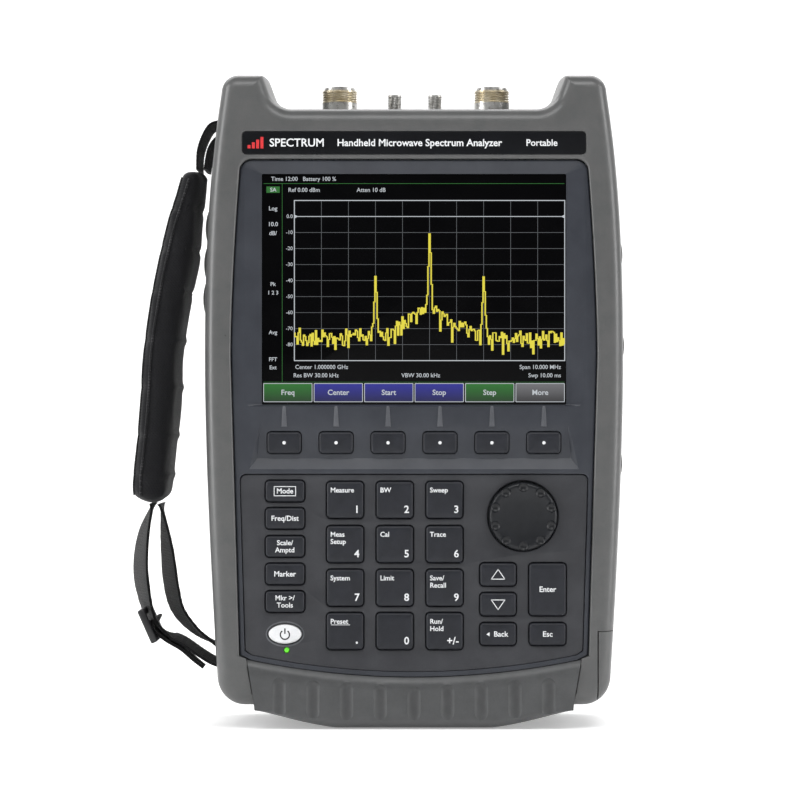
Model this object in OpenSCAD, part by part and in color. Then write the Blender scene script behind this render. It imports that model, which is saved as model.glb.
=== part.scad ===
// Handheld spectrum analyzer: a rugged case with two horns that guard the top connectors,
// a large display over six soft keys, a keypad with a tuning knob, and a hand strap.
// Millimetres. +X is the user's right, +Y runs from the front to the back, +Z is up.
// The origin is the centre of the face that the case stands on.

/* [Case] */
// Greatest half width of the case, halfway up and halfway deep
case_half_w = 94.5; // [92:0.5:100]
// Height of the horns' tops
case_h = 292; // [289:1:298]
// Half the depth of the case without the knob
half_d = 36; // [36:0.5:38]
// Wall thickness of the moulded shells
wall = 3.2; // [2.6:0.1:3.6]
// How far the front face's edge lies inside the widest outline, before its rounding
side_bulge = 2.5; // [1.5:0.5:3]
// How far the back face's edge lies inside the widest outline, before its rounding
back_bulge = 3; // [2:0.5:3.4]
// Where the front housing meets the rear cover, along Y
parting_y = 16; // [15.5:0.5:18]

/* [Display] */
// Width of the visible display
screen_w = 135; // [125:1:137]
// Height of the visible display
screen_h = 102.3; // [95:0.1:103]
// Height of the display's centre
screen_z = 195.15; // [194:0.05:196]

/* [Keys] */
// How far each key can be pressed
key_travel = 1.0; // [0.5:0.1:1.1]
// Side of a number key
number_key_w = 16.2; // [14:0.1:17]
// Distance between soft keys
soft_pitch = 23; // [20:0.5:24]
// Gap between a key and its hole, each side
key_gap = 0.35; // [0.3:0.05:0.5]

/* [Knob] */
// Radius of the tuning knob
knob_r = 15; // [12:0.5:15]
// Number of finger dimples round the knob
knob_dimples = 10; // [8:1:12]

/* [Connectors] */
// Radius of the coupling thread of the two large coaxial ports
rf_thread_r = 7.94; // [7.9:0.01:8]
// Radius of the thread of the small coaxial ports
sma_thread_r = 3.175; // [3.1:0.005:3.2]

/* [Strap] */
// Width of the strap's webbing
webbing_w = 30; // [25:1:32]
// Thickness of the webbing
webbing_t = 1.9; // [1.5:0.1:2.2]
// Width of the strap's pad
pad_w = 54; // [48:1:58]

/* [Hidden] */
KEY_NAMES = ["softkey_1", "softkey_2", "softkey_3", "softkey_4", "softkey_5", "softkey_6",
    "key_mode", "key_freq", "key_scale", "key_marker", "key_tools", "key_power",
    "key_1", "key_2", "key_3", "key_4", "key_5", "key_6", "key_7", "key_8", "key_9",
    "key_point", "key_0", "key_sign",
    "key_up", "key_down", "key_back", "key_enter", "key_esc"];

$fn = 48;
eps = 0.01;
gap = 0.2;
case_color = "dimgray";
slate = "#3c4048";
key_color = "#26292f";

// Depths along Y of the layers behind the front face
front_y = -half_d;
bezel_y = front_y + 1.2;
panel_y = front_y + 1.8;
panel_back_y = front_y + 4.3;
flange_y = panel_back_y + gap;
flange_t = 0.6;
membrane_y = flange_y + flange_t + key_travel + 0.3;
board_y = membrane_y + 1.0;

// The outline of the case
case_bottom = 9;
foot_corner_r = 14;
horn_r = 9;
horn_z = case_h - horn_r;
top_edge_z = case_h - 15;
shelf_z = case_h - 24;
plate_z = shelf_z + 2;
widest_z = 160;

// Half width of the case at a height
function half_w(z) = case_half_w - (z > widest_z
    ? 6.5 * pow((z - widest_z) / 117, 2.6)
    : 6 * pow((widest_z - z) / 144, 1.6));

front_edge_r = 5.5;
back_edge_r = 5;

// How far a rounded edge of radius r has drawn in at distance d from the face
function edge_round(d, r) = d >= r ? 0 : r - sqrt(r * r - (r - d) * (r - d));

// How far the outline at depth y lies inside the widest outline
function inset(y) = (y < 0 ? side_bulge : back_bulge) * pow(y / half_d, 2)
    + edge_round(y + half_d, front_edge_r) + edge_round(half_d - y, back_edge_r);

// An arc of some radius about a centre, from one angle to another
function arc(cx, cz, r, from, to, steps = 4) =
    [for (k = [0:steps]) let (a = from + (to - from) * k / steps) [cx + r * cos(a), cz + r * sin(a)]];

// The case seen from the front, drawn in by t: its body, and one horn.
// The horn has two round upper corners, and its inner flank leans outwards.
horn_lean = 20;
horn_inner_r = 3;
// Centre of the inner corner's arc at distance d from the horn's top and its leaning flank
function horn_inner(d) = [68.3 + 0.7 * (d - horn_inner_r), case_h - d];
horn_root_x = 61;
function right_side(t) = concat(
    arc(half_w(23) - foot_corner_r, case_bottom + foot_corner_r, foot_corner_r - t, -90, -6),
    [for (z = [34:30:274]) [half_w(z) - t, z - (z > 270 ? t / 2 : 0)]],
    [[half_w(top_edge_z) - t - 4, top_edge_z - t]]);
function mirrored(p) = [for (i = [len(p) - 1:-1:0]) [-p[i][0], p[i][1]]];
function body_outline(t) = concat(right_side(t), mirrored(right_side(t)));
function horn_inner_arc(t, r) = let (c = horn_inner(t + r)) arc(c[0], c[1], r, 90, 180 - horn_lean);
function horn_outline(t) = concat(
    [[horn_root_x, 250], [half_w(250) - t, 250], [half_w(266) - t, 266]],
    arc(half_w(horn_z) - horn_r, horn_z, max(1.2, horn_r - t), 0, 90),
    horn_inner_arc(t, max(0.8, horn_inner_r - t)),
    [[horn_root_x + t, top_edge_z - t]]);

// A box given by its lowest and highest corners
module block(low, high) {
    translate(low) cube(high - low);
}

// A thin slice of an outline at depth y
module slice(y, points) {
    translate([0, y, 0]) rotate([90, 0, 0]) linear_extrude(eps) polygon(points);
}

// The solid case: hulls between slices at several depths, each drawn in by its own amount
case_depths = [-half_d + eps, -half_d + 0.6, -half_d + 2, -26, -14, 0, 14, 24, 30.5, 32, 34.5, half_d];
module case_solid() {
    for (k = [0:len(case_depths) - 2]) {
        y0 = case_depths[k];
        y1 = case_depths[k + 1];
        hull() {
            slice(y0, body_outline(inset(y0)));
            slice(y1, body_outline(inset(y1)));
        }
        for (side = [0, 1])
            mirror([side, 0, 0]) hull() {
                slice(y0, horn_outline(inset(y0)));
                slice(y1, horn_outline(inset(y1)));
            }
    }
}

// The hollow inside: a deep part between the faces, and a wide part between the sides
hollow_top = shelf_z - wall;
module case_hollow() {
    deep = half_d - wall;
    block([-80, -deep, 18], [80, deep - 1.5, hollow_top]);
    block([-85, -22, 25], [85, 24, hollow_top]);
}

module case_shell() {
    difference() {
        case_solid();
        case_hollow();
    }
}

// A 2D shape drawn in X and Z, as thick as depth, with its front at y
module plate_at(y, depth) {
    translate([0, y + depth, 0]) rotate([90, 0, 0]) linear_extrude(depth) children();
}

// A rectangle with true round corners, centred
module round_rect(w, h, r) {
    square([w - 2 * r, h], center = true);
    square([w, h - 2 * r], center = true);
    for (x = [-1, 1], z = [-1, 1])
        translate([x * (w / 2 - r), z * (h / 2 - r)]) circle(r, $fn = 24);
}

module ellipse(w, h) {
    polygon([for (a = [0:9:351]) [w / 2 * cos(a), h / 2 * sin(a)]]);
}

// The dark face: its half width, and the arc that ends it at the bottom
function face_w(z) = 81 - (z > 165 ? 4.2 * pow((z - 165) / 86, 1.6) : 4 * (165 - z) / 137);
face_top = 252.5;
chin_arc_r = 355;
chin_z = 23.4;
function chin_top(x) = chin_z + chin_arc_r - sqrt(chin_arc_r * chin_arc_r - x * x);

// Outline of the dark face, drawn in by t, between two heights; low is added to its bottom arc
function face_half(t, top, corner, low) = concat(
    [for (x = [0:12:72]) [x, chin_top(x) + low]],
    [for (z = [chin_top(72) + low + 2, 60, 90, 120, 150, 180, 210, 230, top - corner])
        if (z <= top - corner) [face_w(z) - t, z]],
    [for (a = [30:30:90]) [face_w(top) - t - corner + corner * cos(a), top - corner + corner * sin(a)]]);
module face_shape(t, top, corner, low) {
    half = face_half(t, top, corner, low);
    n = len(half);
    polygon(concat(half, [for (i = [n - 1:-1:1]) [-half[i][0], half[i][1]]]));
}

// Keys: centre x, centre z, width, height
soft_z = 127.1;
function soft_x(i) = (i - 2.5) * soft_pitch;
number_x = [-30.5, -8.5, 13.5];
number_z = [101.8, 82.2, 62.9, 43.7];
left_key_x = -57.1;
left_key_z = [105.7, 93.6, 81.2, 69.0, 56.8];
KEYS = concat(
    [for (i = [0:5]) [soft_x(i), soft_z, 15, 9.6]],
    [for (z = left_key_z) [left_key_x, z, 17.2, 9.3]],
    [[left_key_x, 42.4, 14.5, 8.4]],
    [for (z = number_z) for (x = number_x) [x, z, number_key_w, number_key_w]],
    [[37.2, 68.8, 15.9, 10.1], [37.2, 55.6, 15.9, 10.1], [37.2, 42.4, 15.9, 9.9],
        [59.1, 62.2, 16.3, 23.2], [59.1, 42.4, 16.1, 9.9]]);
power_index = 11;
soft_count = 6;
knob_x = 48.2;
knob_z = 94.6;
knob_front_y = front_y - 4;
well_r = knob_r + 0.6;
shaft_r = 3;
led_x = -56.4;
led_z = 35.2;

// The outline of a key, grown by g; the power key is an ellipse
module key_outline(i, g) {
    k = KEYS[i];
    translate([k[0], k[1]]) {
        if (i == power_index) ellipse(k[2] + 2 * g, k[3] + 2 * g);
        else round_rect(k[2] + 2 * g, k[3] + 2 * g, 1.7);
    }
}

// A key: a cap with a stepped edge that stands out of its hole, and a flange that holds it in
module key(i) {
    crown_y = i < soft_count ? bezel_y - 0.3 : front_y + 0.1;
    color(i == power_index ? "white" : key_color) {
        plate_at(crown_y, 0.5) key_outline(i, -0.45);
        plate_at(crown_y + 0.5, flange_y - crown_y - 0.5) key_outline(i, 0);
        plate_at(flange_y, flange_t) key_outline(i, 0.75);
    }
}

// Outline of the boot seen from the front, grown by g, with its top raised further by up
boot_end_x = 74;
function boot_bottom(x) = 0.0626 * pow(max(0, abs(x) - 36), 1.35);
module boot_outline(g, up = 0) {
    polygon(concat(
        [for (x = [-boot_end_x:boot_end_x / 8:boot_end_x]) [x + sign(x) * g, chin_top(x) + up]],
        [[boot_end_x - 3.5 + g, 11]],
        [for (x = [70:-10:-70]) [x, boot_bottom(x) - g]],
        [[-boot_end_x + 3.5 - g, 11]]));
}

// The port doors on the right side: lowest and highest point, inner face, and the finger tab's centre
port_doors = [[186, 232, 89.6, 211.5], [150, 182, 91, 170.5], [102, 140, 91, 117.5]];
door_y = [-12, 14];
door_slack = 0.6;
port_x = 84.7;
module door_zone(door, g) {
    block([g > 0 ? 80 : door[2], door_y[0] - 2 * g, door[0] - g], [110, door_y[1] + g, door[1] + g]);
}

// The battery door at the lower right corner, and the bay behind it
battery_seam_x = 81.5;
battery_door_z = 43.5;
battery_door_y = 24;
module battery_door_zone(g) {
    block([battery_seam_x - g, -half_d - 1, 0], [110, battery_door_y + g, battery_door_z + g]);
}
module battery_bay() {
    block([-58, -25, 18], [battery_seam_x, 25, 42.8]);
}

// The strap slots, and the bar across each one
bar_r = 2;
upper_bar = [-84.5, 268.5];
lower_bar = [-83.5, 29];
slot_half_y = webbing_w / 2 + 1.5;
module strap_slots() {
    block([-110, -slot_half_y, upper_bar[1] - 6.5], [upper_bar[0] + 5.5, slot_half_y, upper_bar[1] + 7]);
    block([-110, -slot_half_y, lower_bar[1] - 6.5], [lower_bar[0] + 5.5, slot_half_y, lower_bar[1] + 8]);
}
module bar_sockets() {
    for (bar = [upper_bar, lower_bar])
        translate([bar[0], 0, bar[1]]) rotate([90, 0, 0]) cylinder(h = 36, r = bar_r + 0.05, center = true);
}
module strap_boxes() {
    for (bar = [upper_bar, lower_bar])
        intersection() {
            case_solid_core();
            block([-100, -slot_half_y - 2, bar[1] - 8.5], [bar[0] + 7.5, slot_half_y + 2, bar[1] + 10]);
        }
}
// A plain block inside the case, used to trim the strap pockets' walls
module case_solid_core() {
    block([-84.5, -30, 14], [84.5, 30, 272]);
}

// The trough between the horns, its shelf and its holes
trough_half_x = 54;
trough_half_y = 26;
rf_x = [-33.8, 35.4];
sma_x = [-8.8, 9.5];
port_y = 0;
rf_stub_r = 4.8;
sma_stub_r = 2.4;
module port_holes(extra) {
    for (x = rf_x) translate([x, port_y, shelf_z - 8]) cylinder(h = 14, r = rf_stub_r + extra);
    for (x = sma_x) translate([x, port_y, shelf_z - 8]) cylinder(h = 14, r = sma_stub_r + extra);
}
module trough_shelf(y0, y1) {
    block([-trough_half_x - wall, y0, shelf_z - wall], [trough_half_x + wall, y1, shelf_z]);
    for (side = [-1, 1])
        block([side * (trough_half_x + wall / 2) - wall / 2, y0, shelf_z - eps],
            [side * (trough_half_x + wall / 2) + wall / 2, y1, top_edge_z - 4]);
    // The lips in front of the trough and behind it
    for (y = [-trough_half_y - wall, trough_half_y])
        if (y >= y0 - eps && y + wall <= y1 + eps)
            block([-trough_half_x - wall, y, shelf_z - wall],
                [trough_half_x + wall, y + wall, top_edge_z - 5]);
}
module trough() {
    block([-trough_half_x, -trough_half_y, shelf_z], [trough_half_x, trough_half_y, case_h]);
}

module front_housing() {
    color(case_color) {
        difference() {
            union() {
                case_shell();
                trough_shelf(-trough_half_y - wall, parting_y);
                strap_boxes();
            }
            block([-120, parting_y, -1], [120, 60, 320]);
            trough();
            port_holes(gap);
            strap_slots();
            bar_sockets();
            plate_at(-half_d - 1, 8) face_shape(-gap, face_top + gap, 5, 0);
            plate_at(-half_d - 1, 6.5) boot_outline(gap, 3);
            block([-boot_end_x - gap, -40, -1], [boot_end_x + gap, 34, case_bottom + gap]);
            plate_at(-half_d - 1, 2) translate([0, 259.8]) round_rect(152.4, 10.4, 2);
            for (door = port_doors) door_zone(door, door_slack / 2);
            battery_door_zone(0.3);
            battery_bay();
        }
        // Finger ribs on the left side
        for (z = [191.5, 207.2, 223.2])
            intersection() {
                translate([22.2 - half_w(z), 0, z])
                    rotate([90, 0, 0]) cylinder(h = 24, r = 23, center = true);
                block([-100, -12, z - 7.5], [-91, 12, z + 7.5]);
            }
    }
}

// The tilt stand: a bail whose legs lie in channels in the back
stand_axis_z = 150;
stand_axis_y = 32.4;
stand_half_x = 55;
stand_leg_w = 12;
stand_low_z = 48;
stand_t = 4.6;
stand_pin_r = 2;
barrel_r = stand_t / 2;
module stand_channels() {
    g = 0.5;
    y0 = stand_axis_y - barrel_r - g;
    for (side = [-1, 1])
        block([side * (stand_half_x - stand_leg_w / 2) - stand_leg_w / 2 - g, y0, stand_low_z - g],
            [side * (stand_half_x - stand_leg_w / 2) + stand_leg_w / 2 + g, 40,
                stand_axis_z + barrel_r + 1.2]);
    block([-stand_half_x, y0, stand_low_z - g], [stand_half_x, 40, stand_low_z + stand_leg_w + g]);
    // A finger notch under the bail's crossbar
    block([-14, y0, stand_low_z - 9], [14, 40, stand_low_z]);
}
module stand_pins(r, reach) {
    for (side = [-1, 1])
        translate([side * (stand_half_x - stand_leg_w / 2), stand_axis_y, stand_axis_z])
            rotate([0, 90, 0]) cylinder(h = stand_leg_w + 2 * reach, r = r, center = true, $fn = 32);
}
module tilt_stand() {
    color("#3a3b3d") {
        y0 = stand_axis_y - stand_t / 2;
        for (side = [-1, 1]) {
            x = side * (stand_half_x - stand_leg_w / 2);
            block([x - stand_leg_w / 2, y0, stand_low_z], [x + stand_leg_w / 2, y0 + stand_t, stand_axis_z]);
            translate([x, stand_axis_y, stand_axis_z]) rotate([0, 90, 0])
                cylinder(h = stand_leg_w, r = barrel_r, center = true);
        }
        block([-stand_half_x, y0, stand_low_z], [stand_half_x, y0 + stand_t, stand_low_z + stand_leg_w]);
        stand_pins(stand_pin_r, 3);
    }
}

module rear_cover() {
    color(case_color) {
        difference() {
            union() {
                case_shell();
                trough_shelf(parting_y, trough_half_y + wall);
                // The pad behind the back wall that the stand's channels are sunk in
                block([-stand_half_x - 6, 26, stand_low_z - 12],
                    [stand_half_x + 6, half_d - 1, stand_axis_z + 7]);
            }
            block([-120, -60, -1], [120, parting_y + gap, 320]);
            trough();
            stand_channels();
            stand_pins(stand_pin_r + 0.06, 3.6);
            strap_slots();
            bar_sockets();
            battery_door_zone(0.3);
            battery_bay();
            block([-boot_end_x - gap, -40, -1], [boot_end_x + gap, 34, case_bottom + gap]);
            // Cooling ribs moulded into the upper back
            for (z = [180:9:243])
                block([-56, half_d - 1.4, z - 2], [56, half_d + 1, z + 2]);
            for (p = screw_places)
                translate([p[0], half_d - 3, p[1]]) rotate([-90, 0, 0]) cylinder(h = 4, r = 4.2);
        }
    }
}

screw_places = [[-72, 258], [72, 258], [-78, 165], [78, 165], [-70, 28], [70, 28]];
module case_screws() {
    color("silver")
        for (p = screw_places)
            translate([p[0], half_d - 2.9, p[1]]) rotate([-90, 0, 0])
                difference() {
                    cylinder(h = 2.2, r = 3.6, $fn = 32);
                    translate([0, 0, 0.9]) cylinder(h = 2, r = 1.7, $fn = 6);
                }
}

module bottom_boot() {
    chin_back_y = -half_d + 5.2;
    grooves = 9;
    groove_pitch = 14.9;
    groove_r = 4;
    color("gray")
        difference() {
            intersection() {
                plate_at(-half_d - 0.6, 2 * half_d - 2) boot_outline(0);
                // Side profile: an upright chin, a curved front edge and a flat sole
                rotate([90, 0, 90]) linear_extrude(200, center = true)
                    polygon([[-26, 0], [-30, 0.8], [-33, 2.2], [-35.2, 4.2], [-36.2, 6], [-36.6, 8], [-36.6, 25],
                        [-34.4, 40], [chin_back_y, 40], [chin_back_y, case_bottom - gap],
                        [33, case_bottom - gap], [33, 2], [31, 0]]);
            }
            for (i = [0:grooves - 1]) {
                k = i - (grooves - 1) / 2;
                x = k * groove_pitch;
                top = 16.5 + abs(k) * 0.9;
                translate([x, -half_d - 3.2, -1]) cylinder(h = top + 1, r = groove_r);
                translate([x, -half_d - 3.2, top]) sphere(groove_r);
            }
        }
}

// The slate frame round the display and the keypad, with the soft-key ramp
ramp_top = 136;
ramp_fold = 120.2;
ramp_low = 115.6;
module display_bezel() {
    color(slate) {
        difference() {
            plate_at(bezel_y, panel_back_y - bezel_y) face_shape(0, face_top, 5, 0.2);
            translate([0, 0, screen_z])
                block([-screen_w / 2, -40, -screen_h / 2], [screen_w / 2, -20, screen_h / 2]);
            plate_at(-40, 20) face_shape(2.2, 113.3, 3, 2.2);
            rotate([90, 0, 90]) linear_extrude(140, center = true)
                polygon([[bezel_y - 1, ramp_top + 4], [bezel_y, ramp_top], [bezel_y + 1.5, ramp_fold],
                    [bezel_y, ramp_low], [bezel_y - 1, ramp_low]]);
            for (i = [0:soft_count - 1]) plate_at(-40, 20) key_outline(i, key_gap);
        }
        for (i = [0:soft_count - 1])
            translate([soft_x(i) - 1.2, bezel_y - 0.4, ramp_top - 2]) cube([2.4, 1.2, 9.5]);
    }
}

module keypad_panel() {
    color("#424347")
        difference() {
            plate_at(panel_y, panel_back_y - panel_y) face_shape(2.4, 113.1, 3, 2.4);
            for (i = [soft_count:len(KEYS) - 1]) plate_at(-40, 20) key_outline(i, key_gap);
            plate_at(-40, 20) translate([knob_x, knob_z]) circle(well_r, $fn = 64);
            plate_at(-40, 20) translate([led_x, led_z]) circle(1.35, $fn = 24);
        }
}

module name_plate() {
    color("black") plate_at(-half_d, 0.95) translate([0, 259.8]) round_rect(152, 10, 1.9);
}

module display_window() {
    color("black", 0.5)
        plate_at(panel_back_y + 0.1, 1.2) translate([0, screen_z]) round_rect(screen_w + 6, screen_h + 6, 2);
}

lcd_y = panel_back_y + 1.5;
module lcd_module() {
    color("#101214")
        translate([0, 0, screen_z]) {
            block([-73, lcd_y, -57], [73, lcd_y + 5, 57]);
            block([-66, lcd_y + 5 - eps, -48], [66, lcd_y + 7, 40]);
        }
}

module status_led() {
    color("lime")
        translate([led_x, panel_y - 0.3, led_z]) rotate([-90, 0, 0]) cylinder(h = 5, r = 1.25, $fn = 24);
}

module connector_plate() {
    color("silver")
        difference() {
            translate([0, port_y, shelf_z]) linear_extrude(2) round_rect(104, 30, 3);
            port_holes(gap);
        }
}

// A large coaxial port: hexagon nut, threaded barrel with an open mouth, centre contact and rear stub
rf_top_z = case_h - 4;
module rf_ports() {
    color("silver")
        for (x = rf_x) translate([x, port_y, 0]) {
            difference() {
                union() {
                    translate([0, 0, plate_z]) cylinder(h = 3.6, r = 11, $fn = 6);
                    translate([0, 0, plate_z + 3.5]) cylinder(h = rf_top_z - plate_z - 3.5, r = rf_thread_r);
                }
                translate([0, 0, rf_top_z - 9]) cylinder(h = 10, r = 4.1);
            }
            translate([0, 0, rf_top_z - 9.5]) cylinder(h = 7, r = 1.5, $fn = 24);
            translate([0, 0, shelf_z - 7]) cylinder(h = 7 + 2.5, r = rf_stub_r);
        }
}

sma_top_z = case_h - 7.3;
module sma_ports() {
    color("silver")
        for (x = sma_x)
            translate([x, port_y, 0]) {
                translate([0, 0, plate_z]) cylinder(h = 2.4, r = 4.6, $fn = 6);
                difference() {
                    translate([0, 0, plate_z + 2.3])
                        cylinder(h = sma_top_z - plate_z - 2.3, r = sma_thread_r);
                    translate([0, 0, sma_top_z - 5]) cylinder(h = 6, r = 2.05, $fn = 32);
                }
                translate([0, 0, shelf_z - 7]) cylinder(h = 7 + 2.5, r = sma_stub_r, $fn = 32);
            }
}

// The sockets behind the port doors: two flat ones, a network socket, a power and an audio jack
usb_z = [199, 219];
lan_z = 166;
power_z = 129;
audio_z = 112;
module side_connectors() {
    color("#1d1e20") {
        difference() {
            union() {
                block([port_x - 2, -10, 101], [port_x, 12, 233]);
                block([port_x - 17, -8.5, lan_z - 8], [port_x - 1, 8.5, lan_z + 8]);
                for (z = usb_z) block([port_x - 14, -8, z - 4.5], [port_x - 1, 8, z + 4.5]);
                for (z = [power_z, audio_z]) block([port_x - 13, -6, z - 6], [port_x - 1, 6, z + 6]);
            }
            block([port_x - 14, -6, lan_z - 4.2], [port_x + 1, 6, lan_z + 4.2]);
            for (z = usb_z) block([port_x - 11, -6.3, z - 1.6], [port_x + 1, 6.3, z + 2.8]);
            translate([port_x - 10, 0, power_z]) rotate([0, 90, 0]) cylinder(h = 11, r = 3.2);
            translate([port_x - 10, 0, audio_z]) rotate([0, 90, 0]) cylinder(h = 11, r = 1.8);
        }
        translate([port_x - 11, 0, power_z]) rotate([0, 90, 0]) cylinder(h = 10, r = 1, $fn = 24);
        for (z = usb_z) block([port_x - 12, -5.4, z + 0.2], [port_x - 1, 5.4, z + 1.4]);
    }
}

module encoder_hole(r) {
    plate_at(-40, 30) translate([knob_x, knob_z]) circle(r);
}

// A rubber sheet with a dome under each key
module keypad_membrane() {
    color("#55585c")
        difference() {
            block([-72, membrane_y, 33], [72, membrane_y + 0.8, 137]);
            encoder_hole(8);
            plate_at(-40, 30) translate([led_x, led_z]) circle(1.6, $fn = 24);
        }
}

module keypad_board() {
    color("darkgreen")
        difference() {
            union() {
                block([-72, board_y, 33], [72, board_y + 1.6, 137]);
                block([-20, board_y + 1.5, 118], [20, board_y + 4, 126]);
            }
            encoder_hole(5);
        }
}

encoder_y = board_y + 1.8;
module rotary_encoder() {
    color("silver")
        difference() {
            union() {
                block([knob_x - 7, encoder_y, knob_z - 7], [knob_x + 7, encoder_y + 6, knob_z + 7]);
                plate_at(membrane_y - 0.6, encoder_y - membrane_y + 0.7)
                    translate([knob_x, knob_z]) circle(4.6);
            }
            plate_at(-40, 60) translate([knob_x, knob_z]) circle(shaft_r + 0.06);
        }
}

module knob() {
    color(key_color)
        translate([knob_x, 0, knob_z]) rotate([-90, 0, 0]) {
            difference() {
                translate([0, 0, knob_front_y]) rotate_extrude($fn = 96)
                    polygon([[0, 0.8], [8, 0.7], [12.6, 0.1], [13.6, 0], [14.6, 0.5], [knob_r, 1.4],
                        [knob_r, 8], [0, 8]]);
                for (i = [0:knob_dimples - 1])
                    rotate(i * 360 / knob_dimples) translate([12.3, 0, knob_front_y - 1.3]) sphere(2.4);
            }
            translate([0, 0, knob_front_y + 7.9])
                cylinder(h = encoder_y + 5 - knob_front_y - 7.9, r = shaft_r);
        }
}

module main_board() {
    color("darkgreen") {
        block([-76, -14, 48], [76, -12.4, 252]);
        for (x = [-50, -12, 26]) block([x, -16.4, 90], [x + 24, -13.9, 114]);
        block([-60, -17.8, 130], [-20, -13.9, 170]);
        block([0, -16.9, 130], [60, -13.9, 180]);
    }
}

module rf_module() {
    color("silver") {
        block([-64, -8, 120], [64, 8, 258]);
        for (x = [-56:16:56]) block([x - 1.5, 7.9, 124], [x + 1.5, 12, 254]);
    }
}

module battery_pack() {
    color("#202226") {
        block([-57, -24, 18.4], [79, 24, 40]);
        block([-57, -8, 39.9], [-50, 8, 42]);
    }
}

// A port door, with a raised finger tab
module port_door(i) {
    door = port_doors[i];
    tab_z = door[3];
    color(case_color) {
        intersection() {
            case_solid();
            door_zone(door, 0);
        }
        intersection() {
            translate([half_w(tab_z) - 22.4, 0, tab_z])
                rotate([90, 0, 0]) cylinder(h = 16, r = 23, center = true);
            block([91.5, -8, tab_z - 7], [100, 8, tab_z + 7]);
        }
    }
}

module battery_door() {
    color(case_color)
        intersection() {
            case_solid();
            block([battery_seam_x + gap, -half_d - 1, 0], [110, battery_door_y, battery_door_z]);
        }
}

module strap_bars() {
    color("silver")
        for (bar = [upper_bar, lower_bar])
            translate([bar[0], 0, bar[1]]) rotate([90, 0, 0]) cylinder(h = 35.6, r = bar_r, center = true);
}

// A smooth route through a few points, as Catmull-Rom pieces of some steps each
function spline_point(p, i, t) = let (n = len(p) - 1,
        a = p[max(0, i - 1)], b = p[i], c = p[i + 1], d = p[min(n, i + 2)])
    0.5 * (2 * b + (c - a) * t + (2 * a - 5 * b + 4 * c - d) * t * t + (3 * b - a - 3 * c + d) * t * t * t);
function smooth(p, steps) = concat(
    [for (i = [0:len(p) - 2]) for (s = [0:steps - 1]) spline_point(p, i, s / steps)], [p[len(p) - 1]]);
function unit(v) = v / norm(v);
function across(p, i) = let (d = unit(p[min(len(p) - 1, i + 1)] - p[max(0, i - 1)])) [-d[1], d[0]];

// A ribbon of webbing: its edge follows a route in X and Z, and it is as wide as w along Y
module ribbon(route, w, t) {
    p = smooth(route, 4);
    n = len(p);
    translate([0, w / 2, 0]) rotate([90, 0, 0]) linear_extrude(w)
        polygon(concat([for (i = [0:n - 1]) p[i] + across(p, i) * t / 2],
            [for (i = [n - 1:-1:0]) p[i] - across(p, i) * t / 2]));
}

// The webbing loops: outer strand, over or under the bar, and the inner strand back
wrap_r = bar_r + webbing_t / 2 + 0.35;
function wrap(bar, turn, end) = [for (a = [110:-55:end]) bar + wrap_r * [cos(a), turn * sin(a)]];
upper_route = concat([[-97.5, 250], [-97.2, 258], [-95, 265], [-91.5, 270.2]], wrap(upper_bar, 1, -110),
    [[-89.5, 263.6], [-92.6, 258.5], [-94.1, 250]]);
lower_route = concat([[-118.6, 99], [-123, 85], [-124.5, 70], [-122.7, 56], [-119.2, 46], [-113.5, 40.5],
    [-105, 36.5], [-97, 31], [-90.5, 27.2]], wrap(lower_bar, -1, -55),
    [[-91.5, 36], [-100, 41.5], [-107.5, 50.5], [-110.6, 62], [-112.4, 78], [-115, 99]]);

module strap_webbing_upper() {
    color("#151517") ribbon(upper_route, webbing_w, webbing_t);
}

module strap_webbing_lower() {
    color("#151517") ribbon(lower_route, webbing_w, webbing_t);
}

// The padded grip: a long cushion that leans away from the case
pad_route = [[-95.8, 250.5], [-99.5, 236], [-104.2, 220], [-108.3, 202], [-111.5, 184], [-113.9, 166],
    [-115.1, 146], [-116.9, 125], [-118.6, 110], [-118.9, 99]];
pad_t = 17.5;
function pad_half(i, n) = pad_t / 2 * pow(max(0, 1 - pow(abs(2 * i / (n - 1) - 1), 9)), 0.6) + 1.2;
module hand_strap_pad() {
    p = smooth(pad_route, 3);
    n = len(p);
    outer = [for (i = [0:n - 1]) p[i] - across(p, i) * pad_half(i, n)];
    inner = [for (i = [0:n - 1])
        p[i] + across(p, i) * min(pad_half(i, n), abs(p[i][0]) - half_w(p[i][1]) - 2.4)];
    color("#1b1b1d")
        translate([0, pad_w / 2, 0]) rotate([90, 0, 0]) linear_extrude(pad_w)
            polygon(concat(outer, [for (i = [n - 1:-1:0]) inner[i]]));
}

// The three-bar buckle that the lower webbing runs through
module strap_slider() {
    color("#1d1d1f")
        translate([-119.6, 0, 44.5]) rotate([0, -24, 0])
            difference() {
                block([-1.6, -19, -8], [1.6, 19, 8]);
                for (z = [-3.4, 3.4]) block([-3, -16, z - 1.6], [3, 16, z + 1.6]);
            }
}

front_housing();
rear_cover();
bottom_boot();
display_bezel();
keypad_panel();
name_plate();
display_window();
lcd_module();
status_led();
connector_plate();
rf_ports();
sma_ports();
side_connectors();
keypad_membrane();
keypad_board();
rotary_encoder();
main_board();
rf_module();
battery_pack();
case_screws();
strap_bars();
strap_webbing_upper();
hand_strap_pad();
strap_webbing_lower();
strap_slider();
knob();
port_door(0);  // usb_door
port_door(1);  // lan_door
port_door(2);  // power_door
battery_door();
tilt_stand();
for (i = [0:len(KEY_NAMES) - 1])
    key(i);
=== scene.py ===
"""Looks of the handheld spectrum analyzer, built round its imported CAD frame.

Helpers take millimetres in the row frame (+X right, +Y back, +Z up) and make objects in metres.
"""

import math
import random

import bmesh
import bpy
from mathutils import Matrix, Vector, noise


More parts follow.
